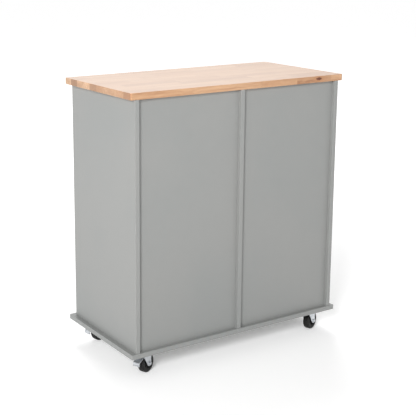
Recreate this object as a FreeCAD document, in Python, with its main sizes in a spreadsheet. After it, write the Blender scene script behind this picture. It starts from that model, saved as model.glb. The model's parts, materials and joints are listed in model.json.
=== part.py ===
import FreeCAD, Part
import Sketcher
import math
import os
import re

# A rolling kitchen cart: a painted two-bay cabinet under a butcher-block worktop, on four swivel
# casters. Millimetres, +Z up, origin on the floor under the middle of the worktop. The doors and
# drawers face -Y, the recessed back panels face +Y. "left" and "right" are as seen from the front.

# Driving sizes: alias, value in millimetres (degrees where the name says so), what it is.
SIZES = (
    ("overall_width", 850, "worktop and base board, side to side"),
    ("overall_depth", 430, "worktop and base board, front to back"),
    ("overall_height", 938, "floor to worktop surface"),
    ("top_thickness", 22, "butcher-block worktop"),
    ("top_corner_radius", 5, "worktop corners in plan"),
    ("top_edge_radius", 1.5, "worktop eased edges"),
    ("base_thickness", 16, "base board"),
    ("base_corner_radius", 2, "base board corners in plan"),
    ("board_edge_radius", 0.8, "eased edges of painted boards"),
    ("side_inset", 17, "side panel inside the end of the worktop"),
    ("front_inset", 17, "side panel behind the front of the worktop"),
    ("rear_inset", 3, "side panel inside the rear of the worktop"),
    ("panel_thickness", 15, "side panels, divider, rails and shelves"),
    ("back_thickness", 5, "back panels"),
    ("back_recess", 13, "back panel in from the rear edges of the sides"),
    ("groove_depth", 4.5, "grooves that hold the back panels"),
    ("groove_play", 0.2, "room around a back panel in its grooves"),
    ("rail_depth", 60, "top and middle rails, front to back"),
    ("drawer_opening", 140, "height between top rail and middle rail"),
    ("front_thickness", 16, "door frames and drawer fronts"),
    ("front_gap", 2.4, "gap around doors and drawer fronts"),
    ("stile_width", 55, "door frame members"),
    ("door_panel_thickness", 6, "panel held in the door frame"),
    ("door_panel_inlet", 8, "how far the panel enters the frame"),
    ("door_panel_play", 0.2, "room around the panel in the frame"),
    ("door_panel_step", 6, "panel face behind the frame face"),
    ("shelf_height", 330, "shelf top above the base board"),
    ("shelf_setback", 25, "shelf front behind the doors"),
    ("shelf_play", 1, "gap at each end of a shelf"),
    ("pin_radius", 2.5, "shelf pins"),
    ("pin_bore_play", 0.05, "shelf pin hole wider than the pin, on the radius"),
    ("pin_in_panel", 7, "shelf pin inside a panel"),
    ("pin_proud", 8, "shelf pin standing out"),
    ("pin_hole_pitch", 32, "shelf pin holes, one above the other"),
    ("pin_hole_count", 5, "shelf pin holes in a column"),
    ("pin_edge_distance", 50, "shelf pin columns in from the shelf's edges"),
    ("box_board", 12, "drawer box boards"),
    ("box_height", 95, "drawer box, outside"),
    ("box_length", 340, "drawer box behind the drawer front"),
    ("box_lift", 14, "drawer box above the bottom of its front"),
    ("box_bottom", 5, "drawer bottom"),
    ("box_bottom_lift", 8, "drawer bottom above the lower edge of the box"),
    ("box_bottom_inlet", 5, "drawer bottom inside the box boards"),
    ("runner_space", 12.5, "room for a runner on each side of a drawer box"),
    ("runner_height", 35, "fixed runner channel"),
    ("runner_length", 330, "runner channel and bar"),
    ("runner_wall", 2, "runner channel walls"),
    ("channel_depth", 9, "runner channel, out from the panel"),
    ("runner_play", 0.4, "clearance between bar and channel"),
    ("knob_radius", 15, "knob head"),
    ("knob_head", 9, "knob head thickness"),
    ("knob_rounding", 3.6, "knob head edges"),
    ("knob_stem_radius", 7, "knob stem where it meets the head"),
    ("knob_foot_radius", 9, "knob stem at the door"),
    ("knob_stem", 13, "knob stem length"),
    ("knob_screw_radius", 2, "knob screw"),
    ("door_knob_drop", 70, "door knob below the door's upper edge"),
    ("hinge_leaf_height", 60, "hinge leaves"),
    ("hinge_leaf_depth", 14, "hinge leaf along the panel edge"),
    ("hinge_leaf", 1, "hinge leaf sheet"),
    ("hinge_knuckle_radius", 2.6, "hinge knuckle"),
    ("hinge_pin_radius", 1.4, "hinge pin"),
    ("hinge_pin_play", 0.05, "turning clearance on the pin, on the radius"),
    ("hinge_proud", 3, "hinge pin in front of the panel edges"),
    ("hinge_end_distance", 80, "hinge centre to the end of the door"),
    ("hinge_knuckle_gap", 0.4, "gap between knuckles along the pin"),
    ("catch_width", 26, "magnetic catch, across the bay"),
    ("catch_depth", 14, "magnetic catch, front to back"),
    ("catch_height", 13, "magnetic catch"),
    ("catch_play", 0.5, "magnetic catch behind the shut door"),
    ("dowel_radius", 4, "dowels between panels and boards"),
    ("dowel_length", 24, "dowels"),
    ("dowel_in_board", 10, "dowel inside the worktop or base board"),
    ("dowel_end_distance", 90, "dowel to the end of its panel"),
    ("base_screw_radius", 2.5, "screws up into the panels"),
    ("base_screw_length", 50, "screws up into the panels"),
    ("base_screw_head", 5, "radius of those screws' heads"),
    ("base_screw_end_distance", 55, "screw to the end of its panel"),
    ("bracket_leg", 26, "angle bracket legs"),
    ("bracket_width", 18, "angle brackets"),
    ("bracket_sheet", 2, "angle bracket sheet"),
    ("bracket_hole_distance", 15.6, "bracket holes to the corner of the bracket"),
    ("bracket_end_distance", 110, "angle bracket to the end of its panel"),
    ("small_screw_radius", 1.8, "bracket screws"),
    ("small_screw_length", 12, "bracket screws inside the wood"),
    ("small_screw_head", 3.6, "radius of bracket screw heads"),
    ("small_screw_head_height", 2, "bracket screw heads"),
    ("caster_end_inset", 73, "kingpin in from the end of the base board"),
    ("caster_edge_inset", 55, "kingpin in from the long edges of the base board"),
    ("plate_size", 64, "caster plate, square"),
    ("plate_thickness", 2.5, "caster plate"),
    ("plate_screw_pitch", 48, "caster plate holes, centre to centre"),
    ("plate_screw_radius", 2.2, "caster plate screws"),
    ("plate_screw_length", 13, "caster plate screws inside the board"),
    ("plate_screw_head", 4.4, "radius of caster plate screw heads"),
    ("plate_screw_head_height", 2.4, "caster plate screw heads"),
    ("race_radius", 22.5, "raceway skirt under the plate, outside"),
    ("race_wall", 2, "raceway skirt"),
    ("race_gap", 0.5, "raceway skirt above the fork crown"),
    ("ball_radius", 2.4, "bearing balls"),
    ("ball_ring_radius", 15, "circle of bearing balls"),
    ("ball_count", 8, "bearing balls in a ring"),
    ("ball_play", 0.2, "balls above the fork crown"),
    ("kingpin_radius", 4, "kingpin"),
    ("kingpin_play", 0.06, "fork turning clearance on the kingpin, on the radius"),
    ("kingpin_head_radius", 7.5, "kingpin head"),
    ("kingpin_head", 3, "kingpin head thickness"),
    ("kingpin_slack", 0.2, "kingpin head below the fork crown"),
    ("fork_sheet", 2.5, "fork sheet"),
    ("fork_crown_radius", 24, "fork crown"),
    ("fork_front", 21, "fork leg top, ahead of the kingpin"),
    ("fork_rear", 25, "fork leg top, behind the kingpin"),
    ("fork_tip_radius", 8.5, "fork leg round the axle"),
    ("wheel_radius", 31.75, "caster wheel"),
    ("wheel_width", 23.4, "tyre width"),
    ("wheel_head_room", 4.3, "tyre below the kingpin head"),
    ("wheel_side_gap", 2.5, "tyre to fork leg"),
    ("wheel_edge_radius", 3.5, "tyre shoulders"),
    ("tyre_bore_radius", 21.5, "tyre inside"),
    ("hub_width", 20, "hub rim"),
    ("hub_dish", 6, "hub dish on each side"),
    ("hub_rim", 3, "hub rim wall"),
    ("hub_boss_radius", 7.5, "hub boss"),
    ("hub_boss_play", 0.4, "hub boss to fork leg"),
    ("wheel_trail", 17, "wheel axle behind the kingpin"),
    ("axle_radius", 3, "axle bolt"),
    ("axle_play", 0.06, "wheel turning clearance on the axle, on the radius"),
    ("axle_head_radius", 5.5, "axle bolt head and nut"),
    ("axle_head", 3.5, "axle bolt head and nut thickness"),
    ("brake_side_gap", 2.2, "brake lever to fork leg"),
    ("brake_sheet", 2.4, "brake lever sheet"),
    ("brake_pivot_room", 7.9, "brake pivot outside the tread"),
    ("brake_shoe_gap", 0.75, "brake shoe off the tread"),
    ("brake_pivot_drop", 18.5, "brake pivot below the base board"),
    ("brake_pivot_radius", 2, "brake pivot pin"),
    ("brake_pivot_play", 0.06, "brake pin clearance in the fork, on the radius"),
    ("brake_pin_proud", 1.5, "brake pivot pin outside each fork leg"),
    ("brake_eye_radius", 4, "brake lever round its pin"),
    ("brake_shoe_degrees", 5, "brake shoe below the line from the axle to the pivot"),
    ("brake_arm", 22, "brake lever from its pin to the curl of the pedal"),
    ("brake_arm_fall", 10, "brake lever drop over that length"),
    ("pedal_curl_radius", 9, "curl of the pedal"),
    ("pedal_curl_degrees", 140, "turn of the curl"),
    ("pedal_curl_steps", 7, "flats in the curl"),
    ("rear_right_yaw_degrees", 25, "swivel at rest"),
    ("rear_left_yaw_degrees", 21, "swivel at rest"),
    ("front_right_yaw_degrees", 14, "swivel at rest"),
    ("front_left_yaw_degrees", 32, "swivel at rest"),
)

# Places worked out from the driving sizes.
DERIVED = {
    "half_width": "overall_width / 2",
    "half_depth": "overall_depth / 2",
    "caster_height": "crown_top + fork_sheet + kingpin_slack + kingpin_head + wheel_head_room"
                     " + 2 * wheel_radius",
    "base_top": "caster_height + base_thickness",
    "top_underside": "overall_height - top_thickness",
    "side_height": "top_underside - base_top",
    "side_outer": "half_width - side_inset",
    "side_inner": "side_outer - panel_thickness",
    "side_front": "front_inset - half_depth",
    "side_rear": "half_depth - rear_inset",
    "side_depth": "side_rear - side_front",
    "side_middle": "(side_front + side_rear) / 2",
    "bay_inner": "panel_thickness / 2",
    "bay_width": "side_inner - bay_inner",
    "bay_middle": "(side_inner + bay_inner) / 2",
    "back_rear": "side_rear - back_recess",
    "back_front": "back_rear - back_thickness",
    "back_width": "bay_width + 2 * groove_depth - 2 * groove_play",
    "rail_z": "top_underside - panel_thickness",
    "mid_rail_z": "rail_z - drawer_opening - panel_thickness",
    "front_width": "bay_width - 2 * front_gap",
    "drawer_front_z": "mid_rail_z + panel_thickness + front_gap",
    "drawer_front_height": "drawer_opening - 2 * front_gap",
    "door_z": "base_top + front_gap",
    "door_height": "mid_rail_z - front_gap - door_z",
    "front_back": "side_front + front_thickness",
    "panel_width": "front_width - 2 * stile_width + 2 * door_panel_inlet - 2 * door_panel_play",
    "panel_height": "door_height - 2 * stile_width + 2 * door_panel_inlet - 2 * door_panel_play",
    "door_panel_y": "side_front + door_panel_step + door_panel_play",
    "shelf_z": "base_top + shelf_height - panel_thickness",
    "shelf_front": "front_back + shelf_setback",
    "shelf_depth": "back_front - shelf_play - shelf_front",
    "shelf_width": "bay_width - 2 * shelf_play",
    "shelf_middle": "shelf_front + shelf_depth / 2",
    "pin_spread": "shelf_depth - 2 * pin_edge_distance",
    "pin_z": "shelf_z - pin_radius",
    "box_width": "bay_width - 2 * runner_space",
    "box_z": "drawer_front_z + box_lift",
    "runner_z": "box_z + box_height / 2",
    "runner_y": "front_back + runner_play",
    "bar_height": "runner_height - 2 * runner_wall - 2 * runner_play",
    "bar_thickness": "runner_space - runner_wall - runner_play",
    "hinge_axis_x": "side_inner - front_gap / 2",
    "hinge_axis_y": "side_front - hinge_proud",
    "knuckle_length": "(hinge_leaf_height - 2 * hinge_knuckle_gap) / 3",
    "axle_height": "caster_height - wheel_radius",
    "crown_top": "plate_thickness + 2 * ball_radius + ball_play",
    "kingpin_x": "half_width - caster_end_inset",
    "kingpin_y": "half_depth - caster_edge_inset",
    "fork_gap": "wheel_width + 2 * wheel_side_gap",
    "leg_outer": "fork_gap / 2 + fork_sheet",
    "brake_width": "fork_gap - 2 * brake_side_gap",
    "brake_pivot_rise": "axle_height - brake_pivot_drop",
    "brake_pivot_ahead": "sqrt(pow(wheel_radius + brake_pivot_room; 2) - pow(brake_pivot_rise; 2))"
                         " - wheel_trail",
    "knob_screw_tail": "front_thickness + knob_stem / 2",
}

SIDES = (("left", -1), ("right", 1))
CASTERS = (("front_left", -1, -1), ("front_right", 1, -1), ("rear_left", -1, 1), ("rear_right", 1, 1))
BRAKED = ("front_right", "rear_right")
WORD = re.compile(r"\b[a-z][a-z_]*\b")
SIZE_NAMES = {name for name, _, _ in SIZES}
UP = (0, 0, 1)

doc = FreeCAD.newDocument("Cart")
sheet = doc.addObject("Spreadsheet::Sheet", "Sizes")
for row, (alias, number, note) in enumerate(SIZES, start=1):
    sheet.set(f"A{row}", note)
    sheet.set(f"B{row}", str(number))
    sheet.setAlias(f"B{row}", alias)
doc.recompute()

nodes = []


# ---------------------------------------------------------------- sizes and places

def formula(text):
    """An expression on the sheet's cells, from one written with the names of sizes."""
    def expand(match):
        word = match.group(0)
        if word in DERIVED:
            return "(" + formula(DERIVED[word]) + ")"
        return "Sizes." + word if word in SIZE_NAMES else word
    return WORD.sub(expand, str(text))


def value(text):
    """The number that an expression on the sizes comes to now."""
    return float(sheet.evalExpression(formula(text)))


def bind(item, **sizes):
    """Bind properties of an object to expressions on the sizes."""
    for name, text in sizes.items():
        item.setExpression(name, formula(text))


def place(item, x=0, y=0, z=0, axis=None, degrees=0):
    """Bind an object's place, turned about an axis by an angle."""
    if axis:
        item.Placement = FreeCAD.Placement(
            FreeCAD.Vector(), FreeCAD.Rotation(FreeCAD.Vector(*axis), value(degrees)))
        item.setExpression("Placement.Rotation.Angle", formula(degrees))
    for name, text in (("x", x), ("y", y), ("z", z)):
        item.setExpression("Placement.Base." + name, formula(text))
    return item


def node(item, name):
    """Name an object as one sub-part to be written out."""
    item.Label = name
    nodes.append(item)
    return item


# ---------------------------------------------------------------- primitives and booleans

def block(size, corner):
    """A box from its size and its lowest corner."""
    item = doc.addObject("Part::Box", "block")
    bind(item, Length=size[0], Width=size[1], Height=size[2])
    return place(item, *corner)


def rod(radius, length, start, along=UP):
    """A cylinder from the middle of its first end, along an axis."""
    item = doc.addObject("Part::Cylinder", "rod")
    bind(item, Radius=radius, Height=length)
    turns = {(1, 0, 0): ((0, 1, 0), 90), (0, 1, 0): ((1, 0, 0), -90),
             (-1, 0, 0): ((0, 1, 0), -90), (0, -1, 0): ((1, 0, 0), 90), UP: (None, 0)}
    axis, degrees = turns[along]
    return place(item, *start, axis=axis, degrees=degrees)


def group(items):
    """Several separate solids held as one object."""
    item = doc.addObject("Part::Compound", "group")
    item.Links = list(items)
    return item


def fuse(items):
    """One solid from several that meet."""
    item = doc.addObject("Part::MultiFuse", "fuse")
    item.Shapes = list(items)
    item.Refine = True
    return item


def cut(base, tool):
    """A solid with another taken out of it."""
    item = doc.addObject("Part::Cut", "cut")
    item.Base = base
    item.Tool = tool
    return item


# ---------------------------------------------------------------- bodies, sketches, features

def new_body(name):
    """An empty body that is one sub-part."""
    return node(doc.addObject("PartDesign::Body", name), name)


def origin_feature(body, role):
    """One of a body's own origin planes or axes."""
    return next(item for item in body.Origin.OriginFeatures if item.Role == role)


def new_sketch(body, plane, at=(0, 0, 0)):
    """A sketch on one of the body's planes, shifted in the plane and along its normal."""
    sketch = body.newObject("Sketcher::SketchObject", "profile")
    sketch.AttachmentSupport = [(origin_feature(body, plane), "")]
    sketch.MapMode = "FlatFace"
    for name, text in zip("xyz", at):
        sketch.setExpression("AttachmentOffset.Base." + name, formula(text))
    return sketch


def constrain(sketch, name, constraint, text):
    """Add a named dimension to a sketch and bind it."""
    sketch.renameConstraint(sketch.addConstraint(constraint), name)
    sketch.setExpression("Constraints." + name, formula(text))


def rectangle(body, plane, width, height, at=(0, 0, 0)):
    """A sketch of one rectangle about its own origin."""
    sketch = new_sketch(body, plane, at)
    half_w = value(width) / 2
    half_h = value(height) / 2
    signs = ((-1, -1), (1, -1), (1, 1), (-1, 1))
    corners = [FreeCAD.Vector(sx * half_w, sy * half_h, 0) for sx, sy in signs]
    for index in range(4):
        sketch.addGeometry(Part.LineSegment(corners[index], corners[(index + 1) % 4]))
    for index in range(4):
        sketch.addConstraint(Sketcher.Constraint("Coincident", index, 2, (index + 1) % 4, 1))
        sketch.addConstraint(Sketcher.Constraint("Vertical" if index % 2 else "Horizontal", index))
    sketch.addConstraint(Sketcher.Constraint("Symmetric", 0, 1, 2, 1, -1, 1))
    constrain(sketch, "across", Sketcher.Constraint("DistanceX", 0, 1, 0, 2, 2 * half_w), width)
    constrain(sketch, "up", Sketcher.Constraint("DistanceY", 1, 1, 1, 2, 2 * half_h), height)
    return sketch


def rings(body, plane, radii, at=(0, 0, 0)):
    """A sketch of one circle, or of two with one centre."""
    sketch = new_sketch(body, plane, at)
    for index, radius in enumerate(radii):
        size = value(radius)
        sketch.addGeometry(Part.Circle(FreeCAD.Vector(), FreeCAD.Vector(0, 0, 1), size))
        sketch.addConstraint(Sketcher.Constraint("Coincident", index, 3, -1, 1))
        constrain(sketch, f"radius{index}", Sketcher.Constraint("Radius", index, size), radius)
    return sketch


def hole_pair(body, plane, radius, spread, at=(0, 0, 0)):
    """A sketch of two equal circles on the horizontal axis, a spread apart."""
    sketch = new_sketch(body, plane, at)
    half = value(spread) / 2
    for x in (-half, half):
        sketch.addGeometry(Part.Circle(FreeCAD.Vector(x, 0, 0), FreeCAD.Vector(0, 0, 1), value(radius)))
    sketch.addConstraint(Sketcher.Constraint("PointOnObject", 0, 3, -1))
    sketch.addConstraint(Sketcher.Constraint("Equal", 0, 1))
    sketch.addConstraint(Sketcher.Constraint("Symmetric", 0, 3, 1, 3, -1, 1))
    constrain(sketch, "radius", Sketcher.Constraint("Radius", 0, value(radius)), radius)
    constrain(sketch, "spread", Sketcher.Constraint("DistanceX", 0, 3, 1, 3, 2 * half), spread)
    return sketch


def pad(body, sketch, length, both_ways=True):
    """Thicken a sketch, to both sides of its plane or to one."""
    feature = body.newObject("PartDesign::Pad", "pad")
    feature.Profile = sketch
    feature.SideType = "Symmetric" if both_ways else "One side"
    bind(feature, Length=length)
    doc.recompute()
    return feature


def pocket(body, sketch, length, both_ways=False, towards_normal=False):
    """Cut a sketch into the body, and make sure that it took something away."""
    before = body.Tip.Shape.Volume
    feature = body.newObject("PartDesign::Pocket", "pocket")
    feature.Profile = sketch
    feature.SideType = "Symmetric" if both_ways else "One side"
    feature.Reversed = towards_normal
    bind(feature, Length=length)
    doc.recompute()
    if feature.Shape.Volume >= before - 1e-6:
        raise RuntimeError(f"{body.Label}: a pocket cuts nothing")
    return feature


def column(body, feature, pitch, count):
    """Repeat a feature upwards at an even pitch."""
    pattern = body.newObject("PartDesign::LinearPattern", "column")
    pattern.Originals = [feature]
    pattern.Direction = (origin_feature(body, "Z_Axis"), [""])
    bind(pattern, Length=f"{pitch} * ({count} - 1)", Occurrences=count)
    body.Tip = pattern
    doc.recompute()
    return pattern


def round_edges(body, radius, wanted):
    """Round the edges of the body that a test picks."""
    base = body.Tip
    names = [f"Edge{index}" for index, edge in enumerate(base.Shape.Edges, start=1) if wanted(edge)]
    feature = body.newObject("PartDesign::Fillet", "rounding")
    feature.Base = (base, names)
    bind(feature, Radius=radius)
    doc.recompute()
    return feature


def is_upright(edge):
    """Whether an edge runs along Z."""
    return abs(edge.tangentAt(edge.FirstParameter).z) > 0.999


def is_level(edge):
    """Whether the whole edge lies at one height."""
    return edge.BoundBox.ZLength < 1e-6


def is_circle(edge):
    """Whether an edge is round."""
    return isinstance(edge.Curve, Part.Circle)


# ---------------------------------------------------------------- worktop, base board, carcass

def worktop():
    """The glued-up hardwood slab with rounded corners and eased edges."""
    body = new_body("worktop")
    pad(body, rectangle(body, "XY_Plane", "overall_width", "overall_depth"), "top_thickness")
    round_edges(body, "top_corner_radius", is_upright)
    round_edges(body, "top_edge_radius", is_level)
    place(body, z="overall_height - top_thickness / 2")


def base_board():
    """The board that carries the cabinet and stands on the casters."""
    body = new_body("base_board")
    pad(body, rectangle(body, "XY_Plane", "overall_width", "overall_depth"), "base_thickness")
    round_edges(body, "base_corner_radius", is_upright)
    round_edges(body, "board_edge_radius", is_level)
    place(body, z="caster_height + base_thickness / 2")


def carcass_panel(name, x, faces):
    """An upright panel with a back-panel groove and shelf-pin holes in each inner face."""
    body = new_body(name)
    pad(body, rectangle(body, "YZ_Plane", "side_depth", "side_height"), "panel_thickness")
    round_edges(body, "board_edge_radius", is_upright)
    groove_y = "back_rear - back_thickness / 2 - side_middle"
    column_y = "shelf_middle - side_middle"
    lowest_z = "pin_z - base_top - side_height / 2 - pin_hole_pitch * (pin_hole_count - 1) / 2"
    for face in faces:
        surface = f"{face} * panel_thickness / 2"
        groove = rectangle(body, "YZ_Plane", "back_thickness + 2 * groove_play", "side_height",
                           (groove_y, 0, surface))
        pocket(body, groove, "groove_depth", towards_normal=face < 0)
        holes = hole_pair(body, "YZ_Plane", "pin_radius + pin_bore_play", "pin_spread",
                          (column_y, lowest_z, surface))
        drilled = pocket(body, holes, "pin_in_panel", towards_normal=face < 0)
        column(body, drilled, "pin_hole_pitch", "pin_hole_count")
    place(body, x, "side_middle", "base_top + side_height / 2")


def carcass():
    """Side panels, divider, back panels, rails and shelves."""
    for side, sign in SIDES:
        carcass_panel(f"side_panel_{side}", f"{sign} * (side_outer - panel_thickness / 2)", (-sign,))
    carcass_panel("centre_divider", "0", (-1, 1))
    for side, sign in SIDES:
        body = new_body(f"back_panel_{side}")
        pad(body, rectangle(body, "XZ_Plane", "back_width", "side_height"), "back_thickness")
        place(body, f"{sign} * bay_middle", "back_rear - back_thickness / 2", "base_top + side_height / 2")
        body = new_body(f"shelf_{side}")
        pad(body, rectangle(body, "XY_Plane", "shelf_width", "shelf_depth"), "panel_thickness")
        round_edges(body, "board_edge_radius", is_level)
        place(body, f"{sign} * bay_middle", "shelf_middle", "shelf_z + panel_thickness / 2")
    for name, z in (("top_rails", "rail_z"), ("mid_rails", "mid_rail_z")):
        rails = [block(("bay_width", "rail_depth", "panel_thickness"),
                       (f"{sign} * bay_middle - bay_width / 2", "side_front", z)) for _, sign in SIDES]
        node(group(rails), name)


def shelf_pins():
    """Four pins under each shelf."""
    pins = []
    for _, sign in SIDES:
        for row in (-1, 1):
            y = f"shelf_middle + {row} * pin_spread / 2"
            length = "pin_in_panel + pin_proud"
            pins.append(rod("pin_radius", length, (f"{sign} * (bay_inner - pin_in_panel)", y, "pin_z"),
                            (sign, 0, 0)))
            pins.append(rod("pin_radius", length, (f"{sign} * (side_inner + pin_in_panel)", y, "pin_z"),
                            (-sign, 0, 0)))
    node(group(pins), "shelf_pins")


# ---------------------------------------------------------------- fasteners of the cabinet

def panel_places():
    """The middle planes of the three upright panels."""
    middle = "side_outer - panel_thickness / 2"
    return (f"-({middle})", "0", middle)


def end_places(distance):
    """A fastener's place near the front and near the rear of an upright panel."""
    return (f"side_front + {distance}", f"side_rear - {distance}")


def fasteners():
    """Dowels and screws that join the panels to the worktop and the base board."""
    dowels = []
    screws = []
    for x in panel_places():
        for y in end_places("dowel_end_distance"):
            dowels.append(rod("dowel_radius", "dowel_length", (x, y, "base_top - dowel_in_board")))
            dowels.append(rod("dowel_radius", "dowel_length",
                              (x, y, "top_underside + dowel_in_board - dowel_length")))
        for y in end_places("base_screw_end_distance"):
            shank = rod("base_screw_radius", "base_screw_length", (x, y, "caster_height"))
            head = doc.addObject("Part::Cone", "head")
            bind(head, Radius1="base_screw_head", Radius2="base_screw_radius", Height="base_screw_head / 2")
            screws.append(fuse([shank, place(head, x, y, "caster_height")]))
    node(group(dowels), "panel_dowels")
    node(group(screws), "base_screws")


def bracket(x, y, direction):
    """An angle bracket in the corner of a panel and the worktop, and its two screws."""
    wall = f"{x} + {direction} * bracket_sheet / 2 - bracket_sheet / 2"
    flat = f"{x} + {direction} * bracket_leg / 2 - bracket_leg / 2"
    start = f"{y} - bracket_width / 2"
    upright = block(("bracket_sheet", "bracket_width", "bracket_leg"),
                    (wall, start, "top_underside - bracket_leg"))
    level = block(("bracket_leg", "bracket_width", "bracket_sheet"),
                  (flat, start, "top_underside - bracket_sheet"))
    out = f"{x} + {direction} * bracket_hole_distance"
    drop = "top_underside - bracket_hole_distance"
    up_screw = fuse([
        rod("small_screw_radius", "small_screw_length + bracket_sheet",
            (out, y, "top_underside - bracket_sheet")),
        rod("small_screw_head", "small_screw_head_height",
            (out, y, "top_underside - bracket_sheet - small_screw_head_height"))])
    inner = f"{x} + {direction} * bracket_sheet"
    side_screw = fuse([
        rod("small_screw_radius", "small_screw_length + bracket_sheet", (inner, y, drop),
            (-direction, 0, 0)),
        rod("small_screw_head", "small_screw_head_height", (inner, y, drop), (direction, 0, 0))])
    bores = group([
        rod("small_screw_radius", "bracket_leg", (out, y, "top_underside - bracket_leg / 2")),
        rod("small_screw_radius", "bracket_leg", (f"{x} + {direction} * bracket_leg / 2", y, drop),
            (-direction, 0, 0))])
    return cut(fuse([upright, level]), bores), [up_screw, side_screw]


def top_brackets():
    """Two brackets inside each side panel, which pull the worktop down."""
    brackets = []
    screws = []
    for _, sign in SIDES:
        for y in end_places("bracket_end_distance"):
            sheet_metal, pair = bracket(f"{sign} * side_inner", y, -sign)
            brackets.append(sheet_metal)
            screws.extend(pair)
    node(group(brackets), "top_brackets")
    node(group(screws), "bracket_screws")


# ---------------------------------------------------------------- drawers

def cabinet_runners():
    """The fixed channels, two in each bay."""
    channels = []
    for _, sign in SIDES:
        for wall, out in ((f"{sign} * bay_inner", sign), (f"{sign} * side_inner", -sign)):
            corner_z = "runner_z - runner_height / 2"
            outer = block(("channel_depth", "runner_length", "runner_height"),
                          (f"{wall} + {out} * channel_depth / 2 - channel_depth / 2", "runner_y", corner_z))
            slot = block(("channel_depth", "runner_length + 2", "runner_height - 2 * runner_wall"),
                         (f"{wall} + {out} * (channel_depth / 2 + runner_wall) - channel_depth / 2",
                          "runner_y - 1", f"{corner_z} + runner_wall"))
            channels.append(cut(outer, slot))
    node(group(channels), "cabinet_runners")


def knob(name, x, z):
    """A turned knob on a flared stem, with the screw that holds it from behind."""
    stem = doc.addObject("Part::Cone", "stem")
    bind(stem, Radius1="knob_foot_radius", Radius2="knob_stem_radius", Height="knob_stem")
    place(stem, x, "side_front", z, axis=(1, 0, 0), degrees=90)
    head = doc.addObject("Part::Fillet", "head")
    head.Base = rod("knob_radius", "knob_head", (x, "side_front - knob_stem", z), (0, -1, 0))
    doc.recompute()
    rims = [index for index, edge in enumerate(head.Base.Shape.Edges, start=1) if is_circle(edge)]
    head.Edges = [(index, value("knob_rounding"), value("knob_rounding")) for index in rims]
    bore = rod("knob_screw_radius", "knob_screw_tail", (x, "front_back", z), (0, -1, 0))
    screw = fuse([
        rod("knob_screw_radius", "knob_screw_tail", (x, "front_back", z), (0, -1, 0)),
        rod("knob_screw_radius * 2", "knob_screw_radius", (x, "front_back", z), (0, 1, 0))])
    node(group([cut(fuse([stem, head]), bore), screw]), name)


def drawer(side, sign):
    """Front, box, bottom, moving runners and knob of one drawer."""
    knob_z = "drawer_front_z + drawer_front_height / 2"
    body = new_body(f"drawer_front_{side}")
    pad(body, rectangle(body, "XZ_Plane", "front_width", "drawer_front_height"), "front_thickness")
    face_y = value("0 - front_thickness / 2")
    round_edges(body, "board_edge_radius", lambda edge: edge.BoundBox.YMax < face_y + 1e-6)
    drilled = rings(body, "XZ_Plane", ("knob_screw_radius",))
    pocket(body, drilled, "front_thickness + 2", both_ways=True)
    place(body, f"{sign} * bay_middle", "side_front + front_thickness / 2", knob_z)

    left = f"{sign} * bay_middle - box_width / 2"
    inner_width = "box_width - 2 * box_board"
    boards = [block(("box_board", "box_length", "box_height"), (left, "front_back", "box_z")),
              block(("box_board", "box_length", "box_height"),
                    (f"{left} + box_width - box_board", "front_back", "box_z")),
              block((inner_width, "box_board", "box_height"),
                    (f"{left} + box_board", "front_back", "box_z")),
              block((inner_width, "box_board", "box_height"),
                    (f"{left} + box_board", "front_back + box_length - box_board", "box_z"))]
    groove = block((f"{inner_width} + 2 * box_bottom_inlet",
                    "box_length - 2 * box_board + 2 * box_bottom_inlet", "box_bottom"),
                   (f"{left} + box_board - box_bottom_inlet", "front_back + box_board - box_bottom_inlet",
                    "box_z + box_bottom_lift"))
    head_room = rod("knob_screw_radius * 2.5", "box_board + 2",
                    (f"{sign} * bay_middle", "front_back - 1", knob_z), (0, 1, 0))
    node(group([cut(board, group([groove, head_room])) for board in boards]), f"drawer_box_{side}")

    body = new_body(f"drawer_bottom_{side}")
    pad(body, rectangle(body, "XY_Plane", f"{inner_width} + 2 * box_bottom_inlet",
                        "box_length - 2 * box_board + 2 * box_bottom_inlet"), "box_bottom")
    place(body, f"{sign} * bay_middle", "front_back + box_length / 2",
          "box_z + box_bottom_lift + box_bottom / 2")

    bars = [block(("bar_thickness", "runner_length", "bar_height"),
                  (f"{sign} * bay_middle + {end} * (box_width + bar_thickness) / 2 - bar_thickness / 2",
                   "runner_y", "runner_z - bar_height / 2")) for end in (-1, 1)]
    node(group(bars), f"drawer_runners_{side}")
    knob(f"drawer_knob_{side}", f"{sign} * bay_middle", knob_z)


# ---------------------------------------------------------------- doors

def door(side, sign):
    """Frame, panel, knob and hinge leaves of one door."""
    left = f"{sign} * bay_middle - front_width / 2"
    rail_width = "front_width - 2 * stile_width"
    members = [block(("stile_width", "front_thickness", "door_height"), (left, "side_front", "door_z")),
               block(("stile_width", "front_thickness", "door_height"),
                     (f"{left} + front_width - stile_width", "side_front", "door_z")),
               block((rail_width, "front_thickness", "stile_width"),
                     (f"{left} + stile_width", "side_front", "door_z")),
               block((rail_width, "front_thickness", "stile_width"),
                     (f"{left} + stile_width", "side_front", "door_z + door_height - stile_width"))]
    groove = block(("panel_width + 2 * door_panel_play", "door_panel_thickness + 2 * door_panel_play",
                    "panel_height + 2 * door_panel_play"),
                   (f"{sign} * bay_middle - panel_width / 2 - door_panel_play", "side_front + door_panel_step",
                    "door_z + stile_width - door_panel_inlet"))
    knob_x = f"{sign} * (bay_inner + front_gap + stile_width / 2)"
    knob_z = "door_z + door_height - door_knob_drop"
    bore = rod("knob_screw_radius", "front_thickness + 2", (knob_x, "side_front - 1", knob_z), (0, 1, 0))
    frame_members = [cut(member, group([groove, bore])) for member in members]
    node(group(frame_members), f"door_frame_{side}")

    body = new_body(f"door_panel_{side}")
    pad(body, rectangle(body, "XZ_Plane", "panel_width", "panel_height"), "door_panel_thickness")
    place(body, f"{sign} * bay_middle", "door_panel_y + door_panel_thickness / 2",
          "door_z + door_height / 2")
    knob(f"door_knob_{side}", knob_x, knob_z)


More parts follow.
